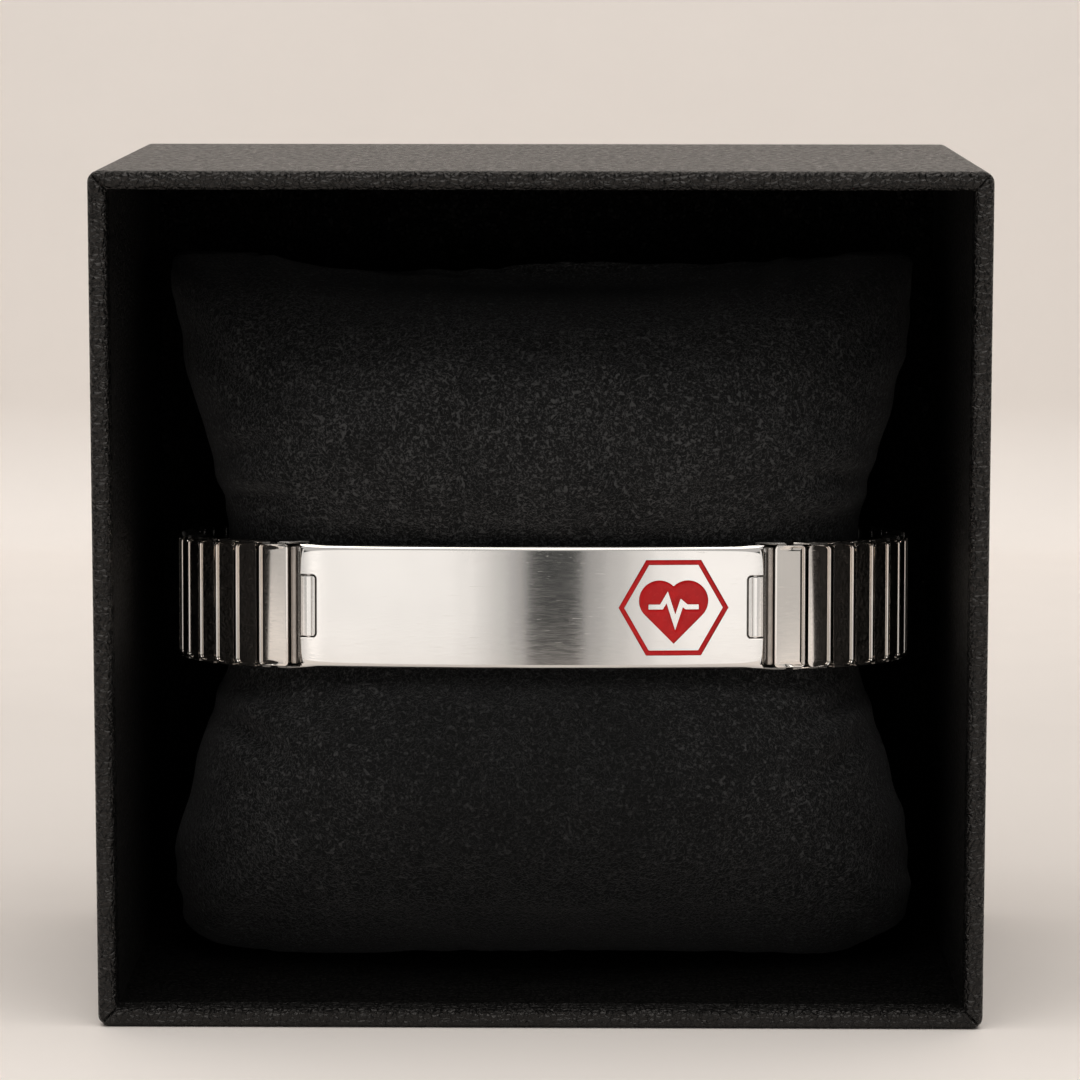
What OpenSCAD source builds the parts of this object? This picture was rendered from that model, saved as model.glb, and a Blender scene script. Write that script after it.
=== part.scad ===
// Medical alert bracelet on its pillow, in an open display box.
// The box stands on its long wall with the open side to the front (-Y).
// The origin is the middle of the box's foot, +X is to the right and +Z is up.

/* [Box] */
// Outer width of the box
box_w = 90; // [84:1:110]
// Outer height of the box as it stands
box_h = 87; // [84:1:110]
// Outer depth of the box, front rim to back
box_d = 56; // [54:1:80]
// Thickness of the covered board
box_wall = 1.9; // [1.2:0.1:3]
// Radius of the box's outer corners, seen from the front
box_corner_r = 1.2; // [0.5:0.1:2]

/* [Plate] */
// Length of the identity plate along its curve
plate_len = 48.3; // [42:0.1:52]
// Height of the identity plate
plate_h = 12.7; // [11:0.1:15]
// Thickness of the identity plate
plate_t = 1.1; // [0.9:0.05:1.2]
// Radius that the plate is curved to
plate_r = 155; // [120:1:260]
// Chamfer round the plate's front edges
plate_chamfer = 0.25; // [0.1:0.05:0.4]
// Height of the notch in each end of the plate
notch_h = 6.5; // [5:0.1:8]
// Depth of the notch in each end of the plate
notch_deep = 1.75; // [1.6:0.05:2.2]
// Radius of the notch's inner corners
notch_r = 0.45; // [0.2:0.05:0.8]
// Radius of the hinge pin across each notch
pin_r = 0.3; // [0.22:0.01:0.34]
// How far the hook's tongue stays under the plate's face
tongue_low = 0.04; // [0.02:0.01:0.1]
// Chamfer of the tongue's two front edges
tongue_chamfer = 0.3; // [0.1:0.05:0.4]

/* [Emblem] */
// Distance of the emblem's middle from the plate's right end
emblem_in = 9.45; // [8:0.05:24]
// Corner radius of the hexagon frame
frame_r = 5.7; // [4.5:0.1:5.9]
// Width of the hexagon frame's enamel
frame_w = 0.5; // [0.3:0.05:0.8]
// Side of the square that the heart grows from
heart_side = 4.2; // [3.4:0.1:4.6]
// Width of the raised steel pulse line in the heart
pulse_w = 0.5; // [0.35:0.05:0.6]
// Depth of the enamel's pockets
enamel_deep = 0.35; // [0.2:0.05:0.5]
// How far the enamel stays under the steel
enamel_low = 0.04; // [0.02:0.01:0.1]
// Gap round the enamel in its pocket
enamel_gap = 0.03; // [0.02:0.01:0.05]

/* [Band] */
// Links on each side, beside the wide end link
links_side = 24; // [22:1:25]
// Pitch of the links where the two rows meet
link_pitch = 2.7; // [2.6:0.01:2.8]
// Width of the wide link next to the plate
end_link_w = 3.25; // [2.8:0.05:3.8]
// Thickness of a top shell
shell_t = 1.1; // [1:0.05:1.3]
// Height of a top shell, which matches the plate
shell_h = 12.7; // [11:0.1:15]
// Radius of a top shell's long edges
shell_edge_r = 0.65; // [0.4:0.05:0.8]
// Radius of a top shell's corners, seen from the front
shell_corner_r = 0.85; // [0.4:0.05:1.2]
// Radius of a top shell's two ends, seen from the side
shell_end_r = 0.3; // [0.15:0.05:0.5]
// Wall of a top shell round its bore
shell_wall = 0.22; // [0.15:0.01:0.3]
// Thickness of an under link
under_t = 1; // [0.8:0.05:1.3]
// Width of an under link
under_w = 2.2; // [1.8:0.05:2.3]
// Thickness of a staple's back
staple_t = 0.2; // [0.15:0.05:0.3]
// Length of a staple's leg in the shell
leg_len = 1.5; // [1:0.1:2.5]
// Gap between the loose pieces of the band
link_gap = 0.12; // [0.1:0.01:0.13]
// Gap between the top row and the under row
row_gap = 0.16; // [0.14:0.01:0.24]
// Gap between the plate's end and the first link
end_gap = 1.05; // [0.9:0.05:1.6]

/* [Loop] */
// How far the loop's flat front runs on past the plate
front_more = 0.2; // [0:0.1:2]
// How far the plate sits to the left of the loop's middle
plate_shift = 1.03; // [-2:0.01:2]
// Height of the plate's middle above the box's foot
plate_up = 41.4; // [38:0.1:48]
// Angle that the bracelet and pillow lean back
lean = 3.6; // [0:0.1:6]

/* [Pillow] */
// Width of the pillow across its corners
pillow_w = 79; // [74:0.5:82]
// Height of the pillow
pillow_h = 74.5; // [70:0.5:80]
// Thickness of the pillow's lobes, front to back
pillow_d = 43; // [40:0.5:45]
// Gap between the pillow and what it touches
pillow_gap = 0.3; // [0.2:0.05:0.6]
// Room behind the pillow at the band's height, which lets it lean back
pillow_room = 2.36; // [2.2:0.02:6]

/* [Hidden] */
$fn = 64;
eps = 0.01;
// A cut runs this far past the face that it opens
past = 2;
// A staple's back ends this far inside the bar and the legs that it joins
staple_in = 0.05;

box_color = "#1c1b1a";
pillow_color = "#26262a";
steel_color = "#d8d4cf";
enamel_color = "#bf2026";

// The rows of the band meet on the loop line. Heights over it are towards the outside.
shell_low = row_gap / 2;
shell_top = shell_low + shell_t;
under_top = -row_gap / 2;
under_low = under_top - under_t;
line_r = plate_r - shell_top;

// Two legs fit side by side in a shell's bore, with the gap between them and round them.
leg_w = (link_pitch - link_gap - 2 * shell_wall - 3 * link_gap) / 2;
leg_t = shell_t - 2 * shell_wall - 2 * link_gap;
leg_top = shell_low + (shell_t + leg_t) / 2;

// Inner face of a staple's back, and where the bars and legs end inside it
back_low = shell_h / 2 + link_gap;
bar_end = back_low + staple_t / 2;

// The hinge pin's middle, from the plate's end and from its face
pin_in = notch_deep / 2 - link_gap / 2;
pin_deep = (plate_t + link_gap) / 2;

// Lengths along the loop line
plate_line = plate_len * line_r / plate_r;
end_pitch = end_link_w + link_gap;
loop_len = plate_line + 2 * (end_gap + end_pitch + links_side * link_pitch);

// The loop is four arcs: a flat one at the front and the back, a round one at each side.
// front_arc is half the flat one's length.
front_arc = plate_line / 2 + abs(plate_shift) + front_more;
front_turn = front_arc / line_r * 180 / PI;
side_r = (loop_len / 4 - front_arc) / (PI / 2 - front_arc / line_r);
side_arc = loop_len / 2 - 2 * front_arc;
side_centre = [(line_r - side_r) * sin(front_turn), line_r - (line_r - side_r) * cos(front_turn)];
loop_depth = 2 * side_centre[1];

// The pillow's middle behind the loop's front, and the plate's face behind the front rim
pillow_mid = loop_depth / 2;
plate_back = box_d - box_wall - pillow_room - pillow_d / 2 - pillow_mid - shell_top;

// Which of the five stretches a length s along the line falls in, s going right from the front
function wrapped(s) = s < 0 ? s + loop_len : s;
function stretch(s) =
    s < front_arc ? 0 :
    s < front_arc + side_arc ? 1 :
    s < 3 * front_arc + side_arc ? 2 :
    s < 3 * front_arc + 2 * side_arc ? 3 : 4;
function stretch_start(i) =
    [0, front_arc, front_arc + side_arc, 3 * front_arc + side_arc, 3 * front_arc + 2 * side_arc][i];
function stretch_radius(i) = i % 2 == 0 ? line_r : side_r;
function stretch_turn(i) =
    [0, front_turn, 180 - front_turn, 180 + front_turn, 360 - front_turn][i];
function stretch_centre(i) =
    i == 2 ? [0, loop_depth - line_r] :
    i % 2 == 0 ? [0, line_r] :
    [(2 - i) * side_centre[0], side_centre[1]];
function turn_in(s, i) =
    stretch_turn(i) + (s - stretch_start(i)) / stretch_radius(i) * 180 / PI;
function turn(s) = turn_in(wrapped(s), stretch(wrapped(s)));
function outward(a) = [sin(a), -cos(a)];
function along(a) = [cos(a), sin(a)];
function line_at(s) =
    stretch_centre(stretch(wrapped(s)))
    + stretch_radius(stretch(wrapped(s))) * outward(turn(s));
// A point u further along a link's own straight direction, and w outside the loop line
function on_loop(s, u, w) = line_at(s) + u * along(turn(s)) + w * outward(turn(s));

// The band starts at the plate's end, whose distance from the loop's middle differs by side.
function plate_end(side) = plate_line / 2 - side * plate_shift;
// Middle of shell k, where shell 0 is the wide one, and the joint before it
function shell_mid(side, k) =
    plate_end(side) + end_gap + (k == 0 ? end_pitch / 2 : end_pitch + (k - 0.5) * link_pitch);
function joint_at(side, k) =
    plate_end(side) + end_gap + (k == 0 ? 0 : end_pitch + (k - 1) * link_pitch);
function shell_width(k) = k == 0 ? end_link_w : link_pitch - link_gap;
function leg_mid(k) = shell_width(k) / 2 - shell_wall - link_gap - leg_w / 2;

// Corners of a staple's back, in the bar and in the legs
bar_side = under_w / 2 - staple_in;
bar_low = under_low + staple_in;
leg_high = leg_top - staple_in;
function leg_side(k) = leg_mid(k) - leg_w / 2 + staple_in;

module in_box() {
    translate([0, plate_back - box_d / 2, plate_up]) rotate([-lean, 0, 0]) children();
}

// The loop line lies behind the plate's face by the height of the top row.
module in_loop() {
    in_box() translate([0, shell_top, 0]) children();
}

module placed(s) {
    translate(line_at(s)) rotate([0, 0, turn(s)]) children();
}

module round_rect(w, h, r) {
    square([w - 2 * r, h], center = true);
    square([w, h - 2 * r], center = true);
    for (x = [-1, 1], y = [-1, 1])
        translate([x * (w / 2 - r), y * (h / 2 - r)]) circle(r);
}

// Top shell: a flat tube with round long edges, round corners and eased ends
module shell(width) {
    difference() {
        intersection() {
            linear_extrude(shell_h, center = true) intersection() {
                translate([0, -shell_top + shell_t])
                    round_rect(width, 2 * shell_t, shell_edge_r);
                translate([-width, -shell_low - 2 * shell_t])
                    square([2 * width, 2 * shell_t]);
            }
            rotate([90, 0, 0]) linear_extrude(2 * shell_top + past, center = true)
                round_rect(width + 2 * eps, shell_h + 2 * eps, shell_corner_r);
            rotate([90, 0, 90]) linear_extrude(2 * width, center = true)
                round_rect(2 * (shell_top + eps), shell_h + 4 * eps, shell_end_r);
        }
        translate([0, -(shell_low + shell_t / 2), 0])
            cube([width - 2 * shell_wall, shell_t - 2 * shell_wall, shell_h + past], center = true);
    }
}

// One leg, in its shell's own frame, on the side that faces the joint
module leg(to_joint, k) {
    for (up = [0, 1]) mirror([0, 0, up])
        translate([to_joint * leg_mid(k) - leg_w / 2, -leg_top, back_low - leg_len])
            cube([leg_w, leg_t, bar_end - back_low + leg_len]);
}

// The staples' backs close the band's two edges, from the under row to the top row.
module staple_backs(points) {
    for (up = [0, 1]) mirror([0, 0, up])
        translate([0, 0, back_low]) linear_extrude(staple_t) polygon(points);
}

module under_bar(s) {
    placed(s) translate([0, -(under_low + under_top) / 2, 0])
        cube([under_w, under_t, 2 * bar_end], center = true);
}

// Under link: a bar with a staple at each end, whose legs run in the shells at its two sides
module under_link(s, s_before, k_before, s_after, k_after) {
    under_bar(s);
    placed(s_before) leg(1, k_before);
    placed(s_after) leg(-1, k_after);
    staple_backs([
        on_loop(s, -bar_side, bar_low),
        on_loop(s, bar_side, bar_low),
        on_loop(s_after, -leg_side(k_after), leg_high),
        on_loop(s, 0, leg_high),
        on_loop(s_before, leg_side(k_before), leg_high)]);
}

module band_half(side, last_joint) {
    for (k = [0:links_side])
        placed(shell_mid(side, k)) shell(shell_width(k));
    for (k = [1:links_side])
        under_link(joint_at(side, k), shell_mid(side, k - 1), k - 1, shell_mid(side, k), k);
    if (last_joint) {
        s = joint_at(side, links_side + 1);
        under_link(s, s - link_pitch / 2, links_side, s + link_pitch / 2, links_side);
    }
}

module band_left() {
    color(steel_color) in_loop() mirror([1, 0, 0]) band_half(-1, false);
}

module band_right() {
    color(steel_color) in_loop() band_half(1, true);
}

// The plate and its ends are turned about the middle of the plate's curve.
module on_plate(arc) {
    translate([0, plate_r, 0]) rotate([0, 0, arc / plate_r * 180 / PI])
        translate([0, -plate_r, 0]) children();
}

module plate_place() {
    in_loop() placed(-plate_shift) translate([0, -shell_top, 0]) children();
}

// A profile swept along the plate's curve, and a layer between two depths under the face
module plate_sweep() {
    sweep = plate_len / plate_r * 180 / PI;
    translate([0, plate_r, 0]) rotate([0, 0, -90 - sweep / 2])
        rotate_extrude(angle = sweep, $fn = 128) children();
}

module plate_layer(from, to) {
    plate_sweep() translate([plate_r - to, -plate_h / 2]) square([to - from, plate_h]);
}

module plate_blank() {
    plate_sweep() polygon([
        [plate_r - plate_t, -plate_h / 2],
        [plate_r - plate_chamfer, -plate_h / 2],
        [plate_r, -plate_h / 2 + plate_chamfer],
        [plate_r, plate_h / 2 - plate_chamfer],
        [plate_r - plate_chamfer, plate_h / 2],
        [plate_r - plate_t, plate_h / 2]]);
}

// The notch as seen from the front, with some clearance inside it
module notch_outline(gap) {
    deep_in = notch_deep - gap;
    h = notch_h - 2 * gap;
    r = notch_r - gap;
    translate([-deep_in, 0]) {
        translate([r, -h / 2]) square([deep_in + past, h]);
        translate([0, -h / 2 + r]) square([deep_in, h - 2 * r]);
        for (up = [-1, 1])
            translate([r, up * (h / 2 - r)]) circle(r);
    }
}

module plate_end_cuts() {
    for (side = [0, 1]) mirror([side, 0, 0]) on_plate(plate_len / 2) {
        translate([0, plate_t / 2, 0]) rotate([90, 0, 0])
            linear_extrude(plate_t + past, center = true) notch_outline(0);
        rotate([0, 0, 45])
            cube([plate_chamfer * sqrt(2), plate_chamfer * sqrt(2), plate_h + past], center = true);
    }
}

module hinge_pins() {
    for (side = [0, 1]) mirror([side, 0, 0]) on_plate(plate_len / 2)
        translate([-pin_in, pin_deep, 0])
            cylinder(r = pin_r, h = notch_h + 2 * notch_r, center = true);
}

// Heart: a square on its corner with a round top on each of its upper sides, grown all round
// by some gap. Its outline runs up the right lobe to the middle and down the left one.
heart_steps = 14;
// Share of its side by which the heart's square sits under the emblem's middle
heart_drop = 0.18;
function lobe_edge(i, grow) =
    let (
        mid = heart_side * sqrt(2) / 4,
        r = heart_side / 2 + grow,
        a = -45 + (45 + acos(-mid / r)) * i / heart_steps)
    [mid + r * cos(a), mid + r * sin(a)];

module heart(grow) {
    translate([0, -heart_drop * heart_side]) polygon(concat(
        [for (i = [0:heart_steps]) lobe_edge(i, grow)],
        [for (i = [heart_steps - 1:-1:0]) let (p = lobe_edge(i, grow)) [-p[0], p[1]]],
        [[0, -(heart_side / 2 + grow) * sqrt(2)]]));
}

// Pulse line from left to right. The points are shares of the heart's side, chosen by hand.
pulse_points = [
    [-0.62, 0.02], [-0.3, 0.02], [-0.16, 0.26], [0.04, -0.36], [0.2, 0.12], [0.32, 0.02], [0.62, 0.02]];
pulse_last = len(pulse_points) - 1;
function heading(i) =
    atan2(pulse_points[i + 1][1] - pulse_points[i][1], pulse_points[i + 1][0] - pulse_points[i][0]);
function heading_in(i) = heading(max(i - 1, 0));
function heading_out(i) = heading(min(i, pulse_last - 1));
// A point beside the line, on the mitre between the stretches before and after it
function beside(i, half) =
    pulse_points[i] * heart_side
    + half / cos((heading_out(i) - heading_in(i)) / 2)
    * [-sin((heading_out(i) + heading_in(i)) / 2), cos((heading_out(i) + heading_in(i)) / 2)];
// Its two ends, which are level, grow lengthwise too.
function end_shift(i, grow) = [i == 0 ? -grow : i == pulse_last ? grow : 0, 0];

module pulse(grow) {
    half = pulse_w / 2 + grow;
    polygon(concat(
        [for (i = [0:pulse_last]) beside(i, half) + end_shift(i, grow)],
        [for (i = [pulse_last:-1:0]) beside(i, -half) + end_shift(i, grow)]));
}

module frame_outline(grow) {
    difference() {
        circle(frame_r + grow / cos(30), $fn = 6);
        circle(frame_r - (frame_w + grow) / cos(30), $fn = 6);
    }
}

module through_plate() {
    on_plate(plate_len / 2 - emblem_in) translate([0, plate_t / 2, 0]) rotate([90, 0, 0])
        linear_extrude(plate_t + past, center = true) children();
}

module pocket() {
    intersection() {
        plate_layer(-past / 2, enamel_deep);
        through_plate() children();
    }
}

module enamel() {
    intersection() {
        plate_layer(enamel_low, enamel_deep - enamel_gap);
        through_plate() children();
    }
}

module id_plate() {
    color(steel_color) plate_place() {
        difference() {
            plate_blank();
            plate_end_cuts();
            pocket() frame_outline(enamel_gap);
            pocket() difference() {
                heart(enamel_gap);
                pulse(0);
            }
        }
        hinge_pins();
    }
}

module emblem_frame() {
    color(enamel_color) plate_place() enamel() frame_outline(0);
}

module emblem_heart() {
    color(enamel_color) plate_place() enamel() difference() {
        heart(0);
        pulse(enamel_gap);
    }
}

// End hook: a tongue round the plate's pin, on a bar with staples that reach the wide link
module tongue() {
    back = -notch_deep + link_gap;
    face = -shell_top + tongue_low;
    c = tongue_chamfer;
    foot = -(under_low + under_top) / 2;
    intersection() {
        linear_extrude(notch_h, center = true) polygon([
            [back, foot],
            [back, face + c],
            [back + c, face],
            [-c, face],
            [0, face + c],
            [0, foot]]);
        rotate([90, 0, 0]) linear_extrude(2 * shell_top, center = true) notch_outline(link_gap);
    }
}

module end_hook(side) {
    s = plate_end(side) + end_gap / 2;
    s_after = shell_mid(side, 0);
    difference() {
        union() {
            under_bar(s);
            placed(s_after) leg(-1, 0);
            staple_backs([
                on_loop(s, -bar_side, bar_low),
                on_loop(s, bar_side, bar_low),
                on_loop(s_after, -leg_side(0), leg_high),
                on_loop(s_after, -end_link_w / 2, leg_high)]);
            placed(plate_end(side)) tongue();
        }
        placed(plate_end(side)) translate([-pin_in, pin_deep - shell_top, 0])
            cylinder(r = pin_r + link_gap, h = plate_h, center = true);
    }
}

module end_hook_left() {
    color(steel_color) in_loop() mirror([1, 0, 0]) end_hook(-1);
}

module end_hook_right() {
    color(steel_color) in_loop() end_hook(1);
}

module display_box() {
    color(box_color) translate([0, 0, box_h / 2]) rotate([90, 0, 0]) difference() {
        linear_extrude(box_d, center = true) round_rect(box_w, box_h, box_corner_r);
        translate([0, 0, box_wall])
            cube([box_w - 2 * box_wall, box_h - 2 * box_wall, box_d], center = true);
    }
}

// Sections of the pillow's lobes, from the band's edge outwards. rise is a share of the lobe's
// height, wide and deep are shares of half the pillow's width and thickness, and full says how
// far a section has left the inside of the band (0) for the lobe's own outline (1).
rise = 0;
wide = 1;
deep = 2;
full = 3;
lower_lobe = [
    [0.00, 0.890, 0.90, 0.0],
    [0.05, 0.900, 0.90, 0.4],
    [0.12, 0.915, 0.95, 0.8],
    [0.25, 0.940, 0.99, 1.0],
    [0.40, 0.965, 1.00, 1.0],
    [0.60, 0.990, 0.91, 1.0],
    [0.76, 1.000, 0.74, 1.0],
    [0.88, 0.955, 0.53, 1.0],
    [0.95, 0.885, 0.36, 1.0],
    [0.99, 0.800, 0.20, 1.0],
    [1.00, 0.730, 0.10, 1.0]];
upper_lobe = [
    [0.00, 0.885, 0.90, 0.0],
    [0.05, 0.885, 0.90, 0.4],
    [0.12, 0.895, 0.95, 0.8],
    [0.25, 0.920, 0.99, 1.0],
    [0.40, 0.945, 1.00, 1.0],
    [0.60, 0.970, 0.90, 1.0],
    [0.78, 0.990, 0.70, 1.0],
    [0.90, 0.990, 0.48, 1.0],
    [0.96, 0.965, 0.32, 1.0],
    [0.99, 0.920, 0.18, 1.0],
    [1.00, 0.860, 0.09, 1.0]];
// How far the lobes' outer edges sag between their corners, as shares of the lobe's height
lower_sag = 0.03;
upper_sag = 0.1;
// Roundness of the lobes' outline from above, where 2 is an ellipse
lobe_power = 2.4;
// Width of the waist as a share of the room in the band
waist_share = 0.965;
pillow_sides = 40;

pillow_foot = (box_wall + pillow_gap - plate_up) / cos(lean) + (pillow_mid + shell_top) * tan(lean);
band_edge = back_low + staple_t + pillow_gap;

function eased(c, p) = sign(c) * pow(abs(c), 2 / p);
function lobe_point(row, a) = [
    row[wide] * pillow_w / 2 * eased(sin(a), lobe_power),
    pillow_mid - row[deep] * pillow_d / 2 * eased(cos(a), lobe_power)];
// The waist follows the inside of the band, and is a little narrower at its sides.
function waist_point(a) =
    let (p = on_loop(a / 360 * loop_len, 0, under_low - pillow_gap))
    [p[0] * waist_share, p[1]];
function section_point(row, a) =
    row[full] * lobe_point(row, a) + (1 - row[full]) * waist_point(a);
function sag_at(row, x, sag) =
    1 - sag * row[rise] * row[rise] * max(0, 1 - pow(2 * x / (row[wide] * pillow_w), 2));
function section_ring(row, edge, end, sag) = [
    for (i = [0:pillow_sides - 1])
        let (p = section_point(row, i / pillow_sides * 360))
        [p[0], p[1], edge + (end - edge) * row[rise] * sag_at(row, p[0], sag)]];
function reversed(list) = [for (i = [len(list) - 1:-1:0]) list[i]];

module pillow() {
    pillow_top = pillow_foot + pillow_h;
    rings = concat(
        [for (row = reversed(lower_lobe)) section_ring(row, -band_edge, pillow_foot, lower_sag)],
        [for (row = upper_lobe) section_ring(row, band_edge, pillow_top, upper_sag)]);
    count = len(rings);
    n = pillow_sides;
    foot_point = [0, pillow_mid, rings[0][0][2]];
    top_point = [0, pillow_mid, rings[count - 1][0][2]];
    points = concat([for (ring = rings, p = ring) p], [foot_point, top_point]);
    walls = [for (k = [0:count - 2], i = [0:n - 1], half = [0, 1])
        let (a = k * n + i, b = k * n + (i + 1) % n)
        half == 0 ? [a, a + n, b] : [b, a + n, b + n]];
    foot_fan = [for (i = [0:n - 1]) [count * n, i, (i + 1) % n]];
    top_fan = [for (i = [0:n - 1])
        [count * n + 1, (count - 1) * n + (i + 1) % n, (count - 1) * n + i]];
    color(pillow_color) in_loop() polyhedron(points, concat(walls, foot_fan, top_fan));
}

display_box();
pillow();
id_plate();
emblem_frame();
emblem_heart();
end_hook_left();
end_hook_right();
band_left();
band_right();
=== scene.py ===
# Looks of the medical alert bracelet on its pillow, in an open display box.
# Lengths in the dictionaries are millimetres and angles degrees; meshes are in metres.
import math

import bmesh
import bpy
import numpy as np
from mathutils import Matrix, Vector
from mathutils.geometry import delaunay_2d_cdt


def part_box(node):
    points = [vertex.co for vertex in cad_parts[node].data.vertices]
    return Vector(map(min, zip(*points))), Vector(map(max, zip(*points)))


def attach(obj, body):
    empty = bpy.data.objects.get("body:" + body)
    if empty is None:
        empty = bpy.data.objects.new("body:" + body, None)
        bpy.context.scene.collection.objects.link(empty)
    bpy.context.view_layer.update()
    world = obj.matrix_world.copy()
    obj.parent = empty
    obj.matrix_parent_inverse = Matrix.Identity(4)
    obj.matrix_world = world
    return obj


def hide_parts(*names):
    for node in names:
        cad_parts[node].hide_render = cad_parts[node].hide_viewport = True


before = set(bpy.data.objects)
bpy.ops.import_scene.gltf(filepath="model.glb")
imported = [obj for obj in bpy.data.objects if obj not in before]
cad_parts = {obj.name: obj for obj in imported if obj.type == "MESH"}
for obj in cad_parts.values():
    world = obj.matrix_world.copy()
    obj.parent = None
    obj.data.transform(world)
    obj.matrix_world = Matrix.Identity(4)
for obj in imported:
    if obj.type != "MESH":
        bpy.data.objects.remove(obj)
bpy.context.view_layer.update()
print("frame loaded:", len(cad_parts), "nodes")

mm = 0.001


# Shared helpers

def setAll(thing, settings):
    for key, value in settings.items():
        setattr(thing, key, value)


def gridFaces(rows, columns, closed=True):
    # Quads between each point of a grid and its neighbours in the next row and column
    row = np.arange(rows - 1)[:, None]
    column = np.arange(columns if closed else columns - 1)[None]
    a = row * columns + column
    b = row * columns + (column + 1) % columns
    return np.stack([a, b, b + columns, a + columns], -1).reshape(-1, 4)


def closedGrid(rows, columns):
    # Faces of an outline that is carried through its rows, and the faces of its two ends
    ends = np.stack([np.arange(columns)[::-1], (rows - 1) * columns + np.arange(columns)])
    return [gridFaces(rows, columns), ends]


def copies(points, faceSets, size):
    # Points of several copies of a shape, with the shape's faces once for each copy
    points = points.reshape(-1, 3)
    starts = np.arange(0, len(points), size)[:, None, None]
    return points, [(faces[None] + starts).reshape(-1, faces.shape[-1]) for faces in faceSets]


def edited(mesh, change):
    # Runs a change on the mesh's editable form
    shape = bmesh.new()
    shape.from_mesh(mesh)
    change(shape)
    shape.to_mesh(mesh)
    shape.free()


def makePiece(name, points, faceSets, outward=True):
    # One smooth mesh object from points and several arrays of faces
    mesh = bpy.data.meshes.new(name)
    faces = [face for group in faceSets for face in group.tolist()]
    mesh.from_pydata(points.reshape(-1, 3).tolist(), [], faces)
    if outward:
        edited(mesh, lambda shape: bmesh.ops.recalc_face_normals(shape, faces=shape.faces))
    mesh.polygons.foreach_set("use_smooth", np.ones(len(mesh.polygons), bool))
    mesh.update()
    piece = bpy.data.objects.new(name, mesh)
    bpy.context.scene.collection.objects.link(piece)
    return piece


def joined(name, parts):
    # One piece from several sets of points and faces
    starts = np.cumsum([0] + [len(part[0]) for part in parts])
    faces = [start + group for start, part in zip(starts, parts) for group in part[1]]
    return makePiece(name, np.concatenate([part[0] for part in parts]), faces)


def countFaces(*parts):
    return sum(len(group) for part in parts for group in part[1])


def sharpened(piece, degrees):
    # Marks edges that bend more than the angle as sharp
    limit = math.radians(degrees)

    def mark(shape):
        for edge in shape.edges:
            edge.smooth = not (len(edge.link_faces) == 2 and edge.calc_face_angle(0) > limit)

    edited(piece.data, mark)


def dressed(piece, materials, nodes=(), finish=None):
    # Gives a piece its materials and body, and hides the CAD nodes that it stands for. The finish
    # is each face's place in the list of materials.
    for material in materials:
        piece.data.materials.append(material)
    if finish is not None:
        piece.data.polygons.foreach_set("material_index", np.asarray(finish, np.int32))
    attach(piece, "root")
    if nodes:
        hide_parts(*nodes)
    print("piece", piece.name, len(piece.data.vertices), "points")


def vectorsOf(items, name="co"):
    # One row of three numbers for each item of a mesh
    values = np.empty(len(items) * 3)
    items.foreach_get(name, values)
    return values.reshape(-1, 3)


def setPoints(mesh, points):
    mesh.vertices.foreach_set("co", points.ravel())
    mesh.update()


def smoothStep(x):
    # 0 below 0, 1 above 1, and 3x2 - 2x3 between them
    x = np.clip(x, 0, 1)
    return x * x * (3 - 2 * x)


# The bracelet's loop, with the same values as the part's source
loop = {
    "plateLength": 48.3,
    "plateHeight": 12.7,
    "plateThick": 1.1,
    "plateRadius": 155.0,
    "shellLow": 0.08,
    "shellTop": 1.18,
    "underTop": -0.08,
    "underLow": -1.08,
    "linksSide": 24,
    "linkPitch": 2.7,
    "endLink": 3.25,
    "linkGap": 0.12,
    "endGap": 1.05,
    "plateShift": 1.03,
    "frontMore": 0.2,
    "plateBack": 11.997,
    "plateUp": 41.4,
    "lean": 3.6,
    "boxDepth": 56.0,
}

lineRadius = loop["plateRadius"] - loop["shellTop"]
plateLine = loop["plateLength"] * lineRadius / loop["plateRadius"]
endPitch = loop["endLink"] + loop["linkGap"]
loopLength = plateLine + 2 * (loop["endGap"] + endPitch + loop["linksSide"] * loop["linkPitch"])
frontArc = plateLine / 2 + loop["plateShift"] + loop["frontMore"]
frontTurn = frontArc / lineRadius
sideRadius = (loopLength / 4 - frontArc) / (math.pi / 2 - frontTurn)
sideArc = loopLength / 2 - 2 * frontArc
sideX = (lineRadius - sideRadius) * math.sin(frontTurn)
sideY = lineRadius - (lineRadius - sideRadius) * math.cos(frontTurn)
lean = math.radians(loop["lean"])


def loopLine(s):
    # The loop is a flat arc, a round side arc, a flat back arc, a side arc and a flat arc.
    # The point is the arc's centre plus its radius times (sin turn, -cos turn).
    s = np.mod(np.asarray(s, float), loopLength)
    starts = np.array([0, frontArc, frontArc + sideArc, 3 * frontArc + sideArc,
                       3 * frontArc + 2 * sideArc])
    turns = np.array([0, frontTurn, math.pi - frontTurn, math.pi + frontTurn,
                      2 * math.pi - frontTurn])
    radii = np.array([lineRadius, sideRadius, lineRadius, sideRadius, lineRadius])
    centres = np.array([[0, lineRadius], [sideX, sideY], [0, 2 * sideY - lineRadius],
                        [-sideX, sideY], [0, lineRadius]])
    arc = np.searchsorted(starts, s, side="right") - 1
    turn = turns[arc] + (s - starts[arc]) / radii[arc]
    x = centres[arc, 0] + radii[arc] * np.sin(turn)
    y = centres[arc, 1] - radii[arc] * np.cos(turn)
    return x, y, turn


def leaned(x, y, z):
    # Leans the bracelet's own frame back about X and moves it to its place in the box
    y = y + loop["shellTop"]
    placed = np.broadcast_arrays(
        x,
        y * math.cos(lean) + z * math.sin(lean) + loop["plateBack"] - loop["boxDepth"] / 2,
        z * math.cos(lean) - y * math.sin(lean) + loop["plateUp"])
    return np.stack(placed, -1) * mm


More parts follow.
